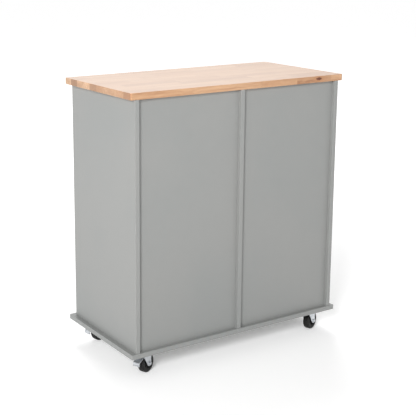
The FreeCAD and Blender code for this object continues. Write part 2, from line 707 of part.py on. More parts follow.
def hinge_heights():
    """The middle heights of a door's two hinges."""
    return ("door_z + hinge_end_distance", "door_z + door_height - hinge_end_distance")


def hinge_leaf(sign, middle_z, on_door):
    """One hinge leaf in the gap beside a door, with its knuckles bored for the pin."""
    axis_x = f"{sign} * hinge_axis_x"
    bottom = f"{middle_z} - hinge_leaf_height / 2"
    inset = "front_gap - hinge_leaf" if on_door else "0"
    outer = f"side_inner - ({inset})"
    sheet_x = f"{sign} * ({outer} - hinge_leaf / 2) - hinge_leaf / 2"
    plate = block(("hinge_leaf", "hinge_leaf_depth + hinge_proud", "hinge_leaf_height"),
                  (sheet_x, "hinge_axis_y", bottom))
    step = "knuckle_length + hinge_knuckle_gap"
    levels = (1,) if on_door else (0, 2)
    others = (0, 2) if on_door else (1,)
    knuckles = [rod("hinge_knuckle_radius", "knuckle_length",
                    (axis_x, "hinge_axis_y", f"{bottom} + {level} * ({step})")) for level in levels]
    gaps = [rod("hinge_knuckle_radius + hinge_knuckle_gap", "knuckle_length + 2 * hinge_knuckle_gap",
                (axis_x, "hinge_axis_y", f"{bottom} + {level} * ({step}) - hinge_knuckle_gap"))
            for level in others]
    play = "hinge_pin_play" if on_door else "0"
    bore = rod(f"hinge_pin_radius + {play}", "hinge_leaf_height + 2",
               (axis_x, "hinge_axis_y", f"{bottom} - 1"))
    return cut(fuse([plate] + knuckles), group(gaps + [bore]))


def hinges():
    """Butt hinges: leaves on the sides, leaves on the doors, and their pins."""
    fixed = []
    pins = []
    for side, sign in SIDES:
        moving = []
        for middle_z in hinge_heights():
            fixed.append(hinge_leaf(sign, middle_z, on_door=False))
            moving.append(hinge_leaf(sign, middle_z, on_door=True))
            pins.append(rod("hinge_pin_radius", "hinge_leaf_height",
                            (f"{sign} * hinge_axis_x", "hinge_axis_y",
                             f"{middle_z} - hinge_leaf_height / 2")))
        node(group(moving), f"hinge_door_leaves_{side}")
    node(group(fixed), "hinge_side_leaves")
    node(group(pins), "hinge_pins")


def door_catches():
    """A magnetic catch under the middle rail at the free edge of each door."""
    catches = [block(("catch_width", "catch_depth", "catch_height"),
                     (f"{sign} * (bay_inner + catch_width) - catch_width / 2", "front_back + catch_play",
                      "mid_rail_z - catch_height")) for _, sign in SIDES]
    node(group(catches), "door_catches")


# ---------------------------------------------------------------- casters

def at_caster(item, name, sign_x, sign_y, turned=True):
    """Put a piece made about the kingpin axis, from the board's underside down, in its corner."""
    yaw = f"{name}_yaw_degrees" if turned else "0"
    return place(item, f"{sign_x} * kingpin_x", f"{sign_y} * kingpin_y", "caster_height",
                 axis=UP, degrees=yaw)


def in_every_corner(make):
    """A group with one copy of a fixed caster piece in each corner."""
    return group([at_caster(make(), *corner, turned=False) for corner in CASTERS])


def caster_plate():
    """Square plate with a raceway skirt, a kingpin bore and four screw holes."""
    plate = block(("plate_size", "plate_size", "plate_thickness"),
                  ("0 - plate_size / 2", "0 - plate_size / 2", "0 - plate_thickness"))
    skirt = cut(rod("race_radius", "crown_top - race_gap", (0, 0, "race_gap - crown_top")),
                rod("race_radius - race_wall", "crown_top", (0, 0, "0 - crown_top - plate_thickness")))
    half = "plate_screw_pitch / 2"
    holes = [rod("plate_screw_radius", "plate_thickness + 2",
                 (f"{sx} * {half}", f"{sy} * {half}", "0 - plate_thickness - 1")) for _, sx, sy in CASTERS]
    bore = rod("kingpin_radius", "plate_thickness + 2", (0, 0, "0 - plate_thickness - 1"))
    return cut(fuse([plate, skirt]), group(holes + [bore]))


def kingpin():
    """Rivet through plate and fork crown, with its head under the crown."""
    tail = "crown_top + fork_sheet + kingpin_slack"
    shaft = rod("kingpin_radius", tail, (0, 0, f"0 - ({tail})"))
    head = rod("kingpin_head_radius", "kingpin_head", (0, 0, f"0 - ({tail}) - kingpin_head"))
    return fuse([shaft, head])


def ball_ring():
    """Bearing balls between plate and crown."""
    balls = []
    count = round(value("ball_count"))
    for index in range(count):
        angle = 2 * math.pi * index / count
        ball = doc.addObject("Part::Sphere", "ball")
        bind(ball, Radius="ball_radius")
        balls.append(place(ball, f"ball_ring_radius * {math.cos(angle):.6f}",
                           f"ball_ring_radius * {math.sin(angle):.6f}", "0 - plate_thickness - ball_radius"))
    return group(balls)


def plate_screws():
    """Four screws that hold one plate."""
    half = "plate_screw_pitch / 2"
    screws = []
    for _, sx, sy in CASTERS:
        spot = (f"{sx} * {half}", f"{sy} * {half}")
        screws.append(fuse([
            rod("plate_screw_radius", "plate_screw_length + plate_thickness",
                spot + ("0 - plate_thickness",)),
            rod("plate_screw_head", "plate_screw_head_height",
                spot + ("0 - plate_thickness - plate_screw_head_height",))]))
    return group(screws)


def fork(braked):
    """Pressed yoke: a crown on the kingpin and two tapered legs down to the axle."""
    pieces = [rod("fork_crown_radius", "fork_sheet", (0, 0, "0 - crown_top - fork_sheet")),
              block(("fork_front + fork_rear", "2 * leg_outer", "fork_sheet"),
                    ("0 - fork_rear", "0 - leg_outer", "0 - crown_top - fork_sheet"))]
    for end in (-1, 1):
        leg = doc.addObject("Part::Wedge", "leg")
        bind(leg, Ymin="0", Ymax="axle_height - crown_top", Xmin="0 - fork_rear", Xmax="fork_front",
             X2min="0 - wheel_trail - fork_tip_radius", X2max="fork_tip_radius - wheel_trail",
             Zmin="0", Zmax="fork_sheet", Z2min="0", Z2max="fork_sheet")
        start = f"{end} * (fork_gap + fork_sheet) / 2 - fork_sheet / 2"
        pieces.append(place(leg, 0, start, "0 - crown_top", axis=(1, 0, 0), degrees="0 - 90"))
        pieces.append(rod("fork_tip_radius", "fork_sheet",
                          ("0 - wheel_trail", start, "0 - axle_height"), (0, 1, 0)))
    bores = [rod("kingpin_radius + kingpin_play", "fork_sheet + 2",
                 (0, 0, "0 - crown_top - fork_sheet - 1")),
             rod("axle_radius", "2 * leg_outer + 2",
                 ("0 - wheel_trail", "0 - leg_outer - 1", "0 - axle_height"), (0, 1, 0))]
    if braked:
        bores.append(rod("brake_pivot_radius + brake_pivot_play", "2 * leg_outer + 2",
                         ("brake_pivot_ahead", "0 - leg_outer - 1", "0 - brake_pivot_drop"), (0, 1, 0)))
    return cut(fuse(pieces), group(bores))


def axle():
    """Axle bolt through both legs, and its nut."""
    outside = ("0 - wheel_trail", "0 - leg_outer", "0 - axle_height")
    bolt = fuse([rod("axle_radius", "2 * leg_outer + axle_head", outside, (0, 1, 0)),
                 rod("axle_head_radius", "axle_head", outside, (0, -1, 0))])
    hexagon = doc.addObject("Part::Prism", "hexagon")
    hexagon.Polygon = 6
    bind(hexagon, Circumradius="axle_head_radius", Height="axle_head")
    place(hexagon, "0 - wheel_trail", "leg_outer", "0 - axle_height", axis=(1, 0, 0), degrees="0 - 90")
    nut = cut(hexagon, rod("axle_radius", "axle_head + 2",
                           ("0 - wheel_trail", "leg_outer - 1", "0 - axle_height"), (0, 1, 0)))
    return group([bolt, nut])


def wheel_body(name, build, corner):
    """A wheel piece turned about the axle: built about its own middle, then hung on the fork."""
    item = doc.addObject("PartDesign::Body", name + "_body")
    build(item)
    place(item, "0 - wheel_trail", 0, "0 - axle_height")
    node(at_caster(group([item]), *corner), name)


def tyre(body):
    """Rubber ring with rounded shoulders."""
    pad(body, rings(body, "XZ_Plane", ("wheel_radius", "tyre_bore_radius")), "wheel_width")
    outer = value("wheel_radius")
    round_edges(body, "wheel_edge_radius",
                lambda edge: is_circle(edge) and edge.Curve.Radius > outer - 1e-6)


def hub(body):
    """Moulded hub: rim, dished web, boss and axle bore."""
    pad(body, rings(body, "XZ_Plane", ("tyre_bore_radius",)), "hub_width")
    for face in (-1, 1):
        dish = rings(body, "XZ_Plane", ("tyre_bore_radius - hub_rim", "hub_boss_radius"),
                     (0, 0, f"{face} * hub_width / 2"))
        pocket(body, dish, "hub_dish", towards_normal=face < 0)
    pad(body, rings(body, "XZ_Plane", ("hub_boss_radius",)), "fork_gap - 2 * hub_boss_play")
    pocket(body, rings(body, "XZ_Plane", ("axle_radius + axle_play",)), "fork_gap + 2", both_ways=True)


def brake_lever():
    """Toe brake: an eye on its pin, a shoe over the tread and a pedal that curls down at its end."""
    half = value("brake_width / 2")
    radius = value("brake_sheet / 2")
    pivot_x = value("brake_pivot_ahead")
    pivot_z = value("0 - brake_pivot_drop")
    curl_radius = value("pedal_curl_radius")
    bend_x = pivot_x + value("brake_arm")
    bend_z = pivot_z - value("brake_arm_fall")
    path = [(pivot_x, pivot_z), (bend_x, bend_z)]
    steps = round(value("pedal_curl_steps"))
    for step in range(1, steps + 1):
        angle = math.radians(90 - value("pedal_curl_degrees") * step / steps)
        path.append((bend_x + curl_radius * math.cos(angle),
                     bend_z - curl_radius + curl_radius * math.sin(angle)))
    shoe_angle = (math.atan2(value("brake_pivot_rise"), value("brake_pivot_ahead + wheel_trail"))
                  - math.radians(value("brake_shoe_degrees")))
    shoe_reach = value("wheel_radius + brake_shoe_gap") + radius
    shoe = [(pivot_x, pivot_z), (value("0 - wheel_trail") + shoe_reach * math.cos(shoe_angle),
                                 value("0 - axle_height") + shoe_reach * math.sin(shoe_angle))]
    pieces = []
    for line in (path, shoe):
        for (x0, z0), (x1, z1) in zip(line, line[1:]):
            length = math.hypot(x1 - x0, z1 - z0)
            strip = Part.makeBox(length, 2 * half, 2 * radius, FreeCAD.Vector(0, -half, -radius))
            pitch = -math.degrees(math.atan2(z1 - z0, x1 - x0))
            strip.Placement = FreeCAD.Placement(FreeCAD.Vector(x0, 0, z0),
                                                FreeCAD.Rotation(FreeCAD.Vector(0, 1, 0), pitch))
            pieces.append(strip)
            pieces.append(Part.makeCylinder(radius, 2 * half, FreeCAD.Vector(x1, -half, z1),
                                            FreeCAD.Vector(0, 1, 0)))
    eye = Part.makeCylinder(value("brake_eye_radius"), 2 * half,
                            FreeCAD.Vector(pivot_x, -half, pivot_z), FreeCAD.Vector(0, 1, 0))
    reach = value("leg_outer + brake_pin_proud")
    pin = Part.makeCylinder(value("brake_pivot_radius"), 2 * reach,
                            FreeCAD.Vector(pivot_x, -reach, pivot_z), FreeCAD.Vector(0, 1, 0))
    lever = eye.multiFuse(pieces).cut(pin).removeSplitter()
    return Part.makeCompound([lever, pin])


def casters():
    """Four swivel casters, two of them with a toe brake."""
    node(in_every_corner(caster_plate), "caster_plates")
    node(in_every_corner(kingpin), "caster_kingpins")
    node(in_every_corner(ball_ring), "caster_balls")
    node(in_every_corner(plate_screws), "caster_screws")
    for corner in CASTERS:
        name = corner[0]
        node(at_caster(fork(name in BRAKED), *corner), f"fork_{name}")
        node(at_caster(axle(), *corner), f"axle_{name}")
        wheel_body(f"tyre_{name}", tyre, corner)
        wheel_body(f"hub_{name}", hub, corner)
        if name in BRAKED:
            lever = doc.addObject("Part::Feature", "brake_lever")
            lever.Shape = brake_lever()
            node(at_caster(lever, *corner), f"brake_lever_{name}")


# ---------------------------------------------------------------- build, check, write

def check(item):
    """Stop unless an object is sound."""
    if "Invalid" in item.State or "Error" in item.State:
        raise RuntimeError(f"{item.Label}: {item.State}")


def main():
    """Build every piece, check it and write it out."""
    worktop()
    base_board()
    carcass()
    shelf_pins()
    fasteners()
    top_brackets()
    cabinet_runners()
    for side, sign in SIDES:
        drawer(side, sign)
        door(side, sign)
    hinges()
    door_catches()
    casters()
    doc.recompute()
    for item in doc.Objects:
        check(item)
    os.makedirs("parts", exist_ok=True)
    for item in nodes:
        if item.Shape.isNull() or not item.Shape.isValid():
            raise RuntimeError(f"{item.Label}: bad shape")
        item.Shape.exportStep(f"parts/{item.Label}.step")
        print(f"{item.Label}: {len(item.Shape.Solids)} solids, {item.Shape.Volume / 1000:.1f} cm3")
    print(len(nodes), "nodes")


main()
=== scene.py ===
"""The looks of a rolling kitchen cart: materials, finished hardware, floor, light and camera.

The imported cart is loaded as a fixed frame, in metres, +Z up, doors facing -Y. Painted boards and the
worktop get eased edges and their finishes here. Casters, knobs, screws, hinges, drawer boxes and door
frames are modelled here in their solids' places.
"""

import json
import logging
import math
from dataclasses import dataclass, field
from enum import Enum
from typing import Callable, Iterable, Sequence

import bmesh
import bpy
from mathutils import Matrix, Vector


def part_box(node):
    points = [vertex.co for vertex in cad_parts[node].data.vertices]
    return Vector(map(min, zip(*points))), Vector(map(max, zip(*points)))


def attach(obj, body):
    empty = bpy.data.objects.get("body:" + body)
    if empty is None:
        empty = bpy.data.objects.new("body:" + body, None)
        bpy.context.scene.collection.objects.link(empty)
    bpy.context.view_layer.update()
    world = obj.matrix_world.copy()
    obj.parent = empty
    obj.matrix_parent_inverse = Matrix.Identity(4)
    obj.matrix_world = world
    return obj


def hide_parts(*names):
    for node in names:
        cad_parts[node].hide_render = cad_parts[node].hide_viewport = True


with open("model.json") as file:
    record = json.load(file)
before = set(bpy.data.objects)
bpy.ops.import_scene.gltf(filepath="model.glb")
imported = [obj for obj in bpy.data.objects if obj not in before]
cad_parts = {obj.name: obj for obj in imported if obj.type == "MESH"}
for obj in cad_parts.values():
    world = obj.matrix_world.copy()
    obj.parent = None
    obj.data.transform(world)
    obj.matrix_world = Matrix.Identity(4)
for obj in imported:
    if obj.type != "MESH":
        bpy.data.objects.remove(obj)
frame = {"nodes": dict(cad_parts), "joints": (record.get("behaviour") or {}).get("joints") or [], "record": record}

LOG = logging.getLogger("cart")
SIDES = {"left": -1, "right": 1}
CORNERS = ("front_left", "front_right", "rear_left", "rear_right")
BRAKED = ("front_right", "rear_right")
NEAR = 1e-5  # metres within which two places count as one
CATCH_HALF = 0.013  # half of a door catch's width


class Axis(Enum):
    """Directions that a turned piece can point in."""

    DOWN = (0.0, 0.0, -1.0)
    FRONT = (0.0, -1.0, 0.0)
    REAR = (0.0, 1.0, 0.0)
    LEFT = (-1.0, 0.0, 0.0)
    RIGHT = (1.0, 0.0, 0.0)


class Step(Enum):
    """Maths operations that a Flow can take."""

    ADD = "ADD"
    SUBTRACT = "SUBTRACT"
    MULTIPLY = "MULTIPLY"
    DIVIDE = "DIVIDE"
    POWER = "POWER"
    LESS = "LESS_THAN"
    GREATER = "GREATER_THAN"
    MODULO = "FLOORED_MODULO"


# ---------------------------------------------------------------- shader maths


class Flow:
    """A number or colour on its way through a material, with Python's operators on numbers."""

    def __init__(self, bench: "Bench", socket: bpy.types.NodeSocket) -> None:
        """Wrap an output socket of a node on a bench."""
        self.bench = bench
        self.socket = socket

    def _step(self, step: Step, first: "Flow | float", second: "Flow | float") -> "Flow":
        """Add one Math node.

        Args:
            step: the operation.
            first: its first value.
            second: its second value.

        Returns:
            The node's result.
        """
        return self.bench.add("ShaderNodeMath", {"operation": step.value}, {0: first, 1: second})

    def _alone(self, operation: str) -> "Flow":
        """Add a Math node that takes this value alone."""
        return self.bench.add("ShaderNodeMath", {"operation": operation}, {0: self})

    def __add__(self, other: "Flow | float") -> "Flow":
        """self + other."""
        return self._step(Step.ADD, self, other)

    def __radd__(self, other: float) -> "Flow":
        """other + self."""
        return self._step(Step.ADD, other, self)

    def __sub__(self, other: "Flow | float") -> "Flow":
        """self - other."""
        return self._step(Step.SUBTRACT, self, other)

    def __rsub__(self, other: float) -> "Flow":
        """other - self."""
        return self._step(Step.SUBTRACT, other, self)

    def __mul__(self, other: "Flow | float") -> "Flow":
        """self * other."""
        return self._step(Step.MULTIPLY, self, other)

    def __rmul__(self, other: float) -> "Flow":
        """other * self."""
        return self._step(Step.MULTIPLY, other, self)

    def __truediv__(self, other: "Flow | float") -> "Flow":
        """self / other."""
        return self._step(Step.DIVIDE, self, other)

    def __pow__(self, other: "Flow | float") -> "Flow":
        """self ** other."""
        return self._step(Step.POWER, self, other)

    def __mod__(self, other: "Flow | float") -> "Flow":
        """self % other, never negative."""
        return self._step(Step.MODULO, self, other)

    def __lt__(self, other: "Flow | float") -> "Flow":
        """1 where self is below other."""
        return self._step(Step.LESS, self, other)

    def __gt__(self, other: "Flow | float") -> "Flow":
        """1 where self is above other."""
        return self._step(Step.GREATER, self, other)

    def floor(self) -> "Flow":
        """The whole number below."""
        return self._alone("FLOOR")

    def size(self) -> "Flow":
        """The value without its sign."""
        return self._alone("ABSOLUTE")

    def sine(self) -> "Flow":
        """The sine of the value in radians."""
        return self._alone("SINE")

    def root(self) -> "Flow":
        """The square root."""
        return self._alone("SQRT")

    def ease(self, low: float, high: float) -> "Flow":
        """A smooth rise from 0 at low to 1 at high.

        Args:
            low: value that gives 0.
            high: value that gives 1.

        Returns:
            The eased value.
        """
        settings = {"interpolation_type": "SMOOTHSTEP"}
        return self.bench.add("ShaderNodeMapRange", settings, {0: self, 1: low, 2: high})


class Bench:
    """One material and the nodes laid out for it."""

    def __init__(self, name: str) -> None:
        """Start a material with an empty principled shader.

        Args:
            name: the material's name.
        """
        self.material = bpy.data.materials.new(name)
        self.material.use_nodes = True
        self.tree = self.material.node_tree
        self.shader = self.tree.nodes["Principled BSDF"]

    def add(self, kind: str, settings: dict | None = None, sockets: dict | None = None,
            out: int | str = 0) -> Flow:
        """Add a node: its settings first, then its sockets.

        Args:
            kind: the node's type.
            settings: its properties.
            sockets: values or Flows by socket name or number.
            out: the output wanted.

        Returns:
            The wanted output.
        """
        node = self.tree.nodes.new(kind)
        for name, setting in (settings or {}).items():
            setattr(node, name, setting)
        for name, given in (sockets or {}).items():
            if isinstance(given, Flow):
                self.tree.links.new(given.socket, node.inputs[name])
            else:
                node.inputs[name].default_value = given
        return Flow(self, node.outputs[out])

    def place(self) -> Flow:
        """The point's place in the cart's own frame, in metres."""
        return self.add("ShaderNodeTexCoord", out="Object")

    def split(self, vector: Flow) -> tuple[Flow, Flow, Flow]:
        """The three parts of a vector.

        Args:
            vector: what is split.

        Returns:
            Its X, Y and Z.
        """
        first = self.add("ShaderNodeSeparateXYZ", sockets={0: vector})
        outputs = first.socket.node.outputs
        return first, Flow(self, outputs[1]), Flow(self, outputs[2])

    def join(self, x: Flow | float, y: Flow | float, z: Flow | float) -> Flow:
        """A vector from three parts."""
        return self.add("ShaderNodeCombineXYZ", sockets={0: x, 1: y, 2: z})

    def noise(self, vector: Flow, scale: float, detail: float = 2.0, rough: float = 0.5) -> Flow:
        """Soft noise from 0 to 1.

        Args:
            vector: where it is read.
            scale: waves per metre.
            detail: octaves.
            rough: weight of the finer octaves.

        Returns:
            The noise.
        """
        return self.add("ShaderNodeTexNoise", {}, {"Vector": vector, "Scale": scale, "Detail": detail,
                                                   "Roughness": rough})

    def chance(self, *seeds: Flow | float) -> Flow:
        """An even random number from 0 to 1 for whole-number seeds."""
        parts = list(seeds) + [0.0] * (3 - len(seeds))
        return self.add("ShaderNodeTexWhiteNoise", {"noise_dimensions": "3D"}, {0: self.join(*parts)})

    def blend(self, amount: Flow | float, first: Flow | tuple, second: Flow | tuple) -> Flow:
        """A colour between two.

        Args:
            amount: 0 for the first, 1 for the second.
            first: a colour.
            second: a colour.

        Returns:
            The mixed colour.
        """
        return self.add("ShaderNodeMix", {"data_type": "RGBA"}, {0: amount, 6: first, 7: second}, out=2)

    def shade(self, colour: Flow, by: Flow) -> Flow:
        """A colour made lighter or darker by a number."""
        return self.add("ShaderNodeVectorMath", {"operation": "SCALE"}, {0: colour, 3: by})

    def relief(self, height: Flow, distance: float, strength: float = 1.0) -> Flow:
        """Fine relief on the surface.

        Args:
            height: from 0 to 1.
            distance: metres from 0 to 1.
            strength: how much of it shows.

        Returns:
            The normal.
        """
        return self.add("ShaderNodeBump", {}, {"Height": height, "Distance": distance,
                                               "Strength": strength})

    def finish(self, **sockets: Flow | float | tuple) -> bpy.types.Material:
        """Set the shader's sockets and give the material.

        Args:
            sockets: values or Flows by socket name, with underscores for spaces.

        Returns:
            The finished material.
        """
        for name, given in sockets.items():
            socket = self.shader.inputs[name.replace("_", " ")]
            if isinstance(given, Flow):
                self.tree.links.new(given.socket, socket)
            else:
                socket.default_value = given
        return self.material


def grey(level: float) -> tuple[float, float, float, float]:
    """A neutral colour."""
    return (level, level, level, 1.0)


# ---------------------------------------------------------------- finishes


@dataclass(frozen=True)
class PaintedBoard:
    """Sprayed satin paint on smooth board, scuffed a little round the foot."""

    name: str
    colour: tuple[float, float, float, float] = (0.243, 0.2455, 0.2385, 1.0)
    cooler: tuple[float, float, float, float] = (0.230, 0.2368, 0.2315, 1.0)
    scuffed: tuple[float, float, float, float] = (0.182, 0.180, 0.172, 1.0)
    foot: float = 0.16
    roughness: float = 0.42
    drift_waves: float = 3.1
    cloud_waves: float = 26.0
    fleck_waves: float = 420.0
    spray_waves: float = 640.0
    spray_depth: float = 0.00016

    def make(self) -> bpy.types.Material:
        """Build the material: drifting tone, spray texture, faint rubbed marks, scuffs low down.

        Returns:
            The material.
        """
        bench = Bench(self.name)
        place = bench.place()
        drift = bench.noise(place, self.drift_waves, 3.0)
        cloud = bench.noise(place, self.cloud_waves, 4.0, 0.6)
        fleck = bench.noise(place, self.fleck_waves, 2.0)
        spray = bench.noise(place, self.spray_waves, 3.0, 0.55)
        x, y, z = bench.split(place)
        rubbed = bench.noise(bench.join(x * 9.0, y * 9.0, z * 60.0), 1.0, 5.0, 0.7).ease(0.62, 0.78)
        low = 1.0 - z.ease(self.foot * 0.55, self.foot)
        scratch = bench.noise(bench.join(x * 38.0, y * 38.0, z * 420.0), 1.0, 4.0, 0.7).ease(0.63, 0.70)
        scuff = low * scratch
        colour = bench.blend(drift.ease(0.3, 0.7), self.colour, self.cooler)
        colour = bench.blend(scuff * 0.45, colour, self.scuffed)
        tone = 0.965 + cloud * 0.04 + fleck * 0.03 + rubbed * 0.02
        return bench.finish(
            Base_Color=bench.shade(colour, tone),
            Roughness=self.roughness + cloud * 0.08 + spray * 0.05 - rubbed * 0.07 + scuff * 0.10,
            Normal=bench.relief(spray * 0.8 + cloud * 0.2 - scuff * 0.5, self.spray_depth, 0.35),
            Coat_Weight=0.06,
            Coat_Roughness=0.25,
            Specular_IOR_Level=0.45)


@dataclass(frozen=True)
class StaveTop:
    """An oiled top glued up from finger-jointed hardwood staves that run along X.

    The upper face is blended to a duller, darker tone than the edges, as painted shade for the extra light and
    sheen that fall on it, and the sawn ends drink more oil and go darker.
    """

    name: str
    half_depth: float
    top: float
    stave: float = 0.0430
    block: float = 0.235
    finger: float = 0.0046
    finger_reach: float = 0.0085
    glue_half: float = 0.0005
    joint_half: float = 0.0006
    ring_waves: float = 1500.0
    grain_depth: float = 0.00022
    knot_halo: tuple[float, float] = (0.0050, 0.0150)
    knot_core: tuple[float, float] = (0.0034, 0.0062)
    knot: tuple[float, float, float] = (-0.318, 0.2150, 0.9285)
    stained_from: float = -0.222
    stained_to: float = -0.372
    pale: tuple[float, float, float, float] = (0.800, 0.505, 0.290, 1.0)
    honey: tuple[float, float, float, float] = (0.705, 0.408, 0.212, 1.0)
    brown: tuple[float, float, float, float] = (0.360, 0.160, 0.062, 1.0)
    # painted shade: the upper face's tone, darker and duller than the edges to offset the light and sheen it takes
    shaded_top: tuple[float, float, float, float] = (0.462, 0.315, 0.224, 1.0)
    glue: tuple[float, float, float, float] = (0.260, 0.130, 0.062, 1.0)
    rust: tuple[float, float, float, float] = (0.290, 0.105, 0.024, 1.0)
    heart: tuple[float, float, float, float] = (0.110, 0.028, 0.009, 1.0)

    def make(self) -> bpy.types.Material:
        """Build the material: staves, blocks, finger joints, rings, pores, one knot.

        Returns:
            The material.
        """
        bench = Bench(self.name)
        place = bench.place()
        x, y, z = bench.split(place)
        facing_x, _, facing_z = bench.split(bench.add("ShaderNodeNewGeometry", out="Normal"))
        upper = facing_z.ease(0.45, 0.95)
        sawn_end = facing_x.size().ease(0.6, 0.9)

        across = (y + self.half_depth) / self.stave
        row = across.floor()
        from_glue = 0.5 - ((across % 1.0) - 0.5).size()
        wave = (((z / self.finger) % 1.0) - 0.5).size() * 2.0
        length = self.block * (0.75 + bench.chance(row, 3.0) * 0.5)
        along = (x + bench.chance(row, 7.0) * self.block + wave * self.finger_reach) / length
        piece = along.floor()
        from_joint = 0.5 - ((along % 1.0) - 0.5).size()

        tone = bench.chance(row, piece, 11.0)
        turn = bench.chance(row, piece, 23.0)
        lean = bench.chance(row, piece, 31.0)

        knot_x, knot_y, knot_z = self.knot
        reach = (((x - knot_x) * 0.42) ** 2.0 + (y - knot_y) ** 2.0 + (z - knot_z) ** 2.0).root()
        swirl = 1.0 - reach.ease(0.002, 0.018)

        shifted = bench.join(x * 1.3 + turn * 7.0, y + lean * 3.0, z + swirl * 0.012)
        warp = bench.noise(shifted, 9.0, 2.0)
        ring_y = y + lean * 0.05 + warp * 0.012 + swirl * 0.010
        ring_z = z + turn * 0.06 - self.top + 0.045
        ring = ((ring_y ** 2.0 + ring_z ** 2.0).root() * self.ring_waves + warp * 9.0).sine() * 0.5 + 0.5
        fibre = bench.noise(bench.join(x * 14.0 + turn * 5.0, y * 620.0, z * 620.0), 1.0, 3.0, 0.6)
        streak = bench.noise(bench.join(x * 5.0 + lean * 5.0, y * 130.0, z * 130.0), 1.0, 3.0, 0.55)
        broad = bench.noise(bench.join(x * 3.0 + turn * 9.0, y * 44.0, z * 44.0), 1.0, 2.0, 0.5)
        pore = bench.noise(bench.join(x * 60.0, y * 1500.0, z * 1500.0), 1.0, 1.0).ease(0.66, 0.76)
        speck = bench.noise(place, 900.0, 2.0).ease(0.6, 0.72) * sawn_end

        stained = ((x < self.stained_from) * (x > self.stained_to) * (y > self.half_depth - self.stave))
        dashes = bench.noise(bench.join(x * 45.0, y * 90.0, z * 190.0), 1.0, 2.0, 0.6).ease(0.38, 0.50)
        dash_zone = 1.0 - (x - self.stained_from + 0.046).size().ease(0.038, 0.056)
        dash_zone = dash_zone * (1.0 - (z - self.top + 0.010).ease(-0.002, 0.002))

        colour = bench.blend(tone.ease(0.05, 0.75), self.pale, self.honey)
        colour = bench.blend(tone.ease(0.70, 1.0) * 0.50, colour, self.brown)
        colour = bench.blend(ring * 0.18 + streak.ease(0.40, 0.68) * 0.36 + broad.ease(0.42, 0.66) * 0.24,
                             colour, self.brown)
        colour = bench.blend(pore * 0.30 + speck * 0.45, colour, self.glue)
        colour = bench.blend(stained * 0.42, colour, self.brown)
        colour = bench.blend(stained * dashes * dash_zone * 0.85, colour, self.rust)
        colour = bench.blend(sawn_end * (0.02 + tone * 0.76), colour, self.brown)
        colour = bench.shade(colour, 1.0 - sawn_end * (0.24 + turn * 0.13))
        # painted shade: upward faces are blended towards a darker, duller tone for the light and sheen that fall
        # on them
        colour = bench.blend(upper * (0.62 - streak.ease(0.35, 0.8) * 0.20), colour, self.shaded_top)
        glue = (from_glue < self.glue_half / self.stave) * (0.50 - upper * 0.36)
        seam = (from_joint < self.joint_half / self.block) * (0.50 - upper * 0.30)
        colour = bench.blend(glue, colour, self.glue)
        colour = bench.blend(seam, colour, self.glue)
        ragged = reach + bench.noise(place, 190.0, 4.0, 0.6) * 0.0080 - 0.0040
        halo = (1.0 - ragged.ease(*self.knot_halo)) * 0.80
        core = 1.0 - ragged.ease(*self.knot_core)
        colour = bench.blend(halo, colour, self.brown)
        colour = bench.blend(core, colour, self.heart)

        relief = ring * 0.2 + fibre * 0.6 - pore * 0.7 - glue * 1.2 - seam * 1.2 - core * 1.5
        return bench.finish(
            Base_Color=bench.shade(colour, 0.93 + fibre * 0.14),
            Roughness=0.40 + streak * 0.10 + pore * 0.12 - core * 0.1,
            Normal=bench.relief(relief, self.grain_depth, 0.45),
            Coat_Weight=0.6 - core * 0.6,
            Coat_Roughness=0.32,
            Specular_IOR_Level=0.5)


@dataclass(frozen=True)
class PlainWood:
    """Light lacquered or raw wood, its grain along one direction of the cart, or X on cross boards."""

    name: str
    light: tuple[float, float, float, float]
    dark: tuple[float, float, float, float]
    along: tuple[float, float, float]
    roughness: float = 0.5
    stretch: float = 0.955
    streak_waves: float = 42.0
    fibre_waves: float = 620.0
    pore_waves: float = 1400.0
    grain_depth: float = 0.00012

    def make(self) -> bpy.types.Material:
        """Build the material: long fibres, cathedral streaks, small pores.

        Returns:
            The material.
        """
        bench = Bench(self.name)
        x, y, z = bench.split(bench.place())
        _, facing_y, _ = bench.split(bench.add("ShaderNodeNewGeometry", out="Normal"))
        crossing = facing_y.size() > 0.7
        along_x, along_y, along_z = self.along
        squeeze_x = 1.0 - (along_x + crossing * (1.0 - along_x)) * self.stretch
        squeeze_y = 1.0 - along_y * (1.0 - crossing) * self.stretch
        grain = bench.join(x * squeeze_x, y * squeeze_y, z * (1.0 - along_z * self.stretch))
        bend = bench.noise(grain, 7.0, 2.0)
        streak = (bench.noise(grain, self.streak_waves, 3.0) * 5.0 + bend * 6.0).sine() * 0.5 + 0.5
        fibre = bench.noise(grain, self.fibre_waves, 2.0, 0.6)
        pore = bench.noise(grain, self.pore_waves, 1.0).ease(0.64, 0.75)
        colour = bench.blend(streak * 0.55 + bend * 0.3, self.light, self.dark)
        return bench.finish(
            Base_Color=bench.shade(colour, 0.92 + fibre * 0.13 - pore * 0.10),
            Roughness=self.roughness + fibre * 0.12,
            Normal=bench.relief(fibre - pore, self.grain_depth, 0.5),
            Specular_IOR_Level=0.4)


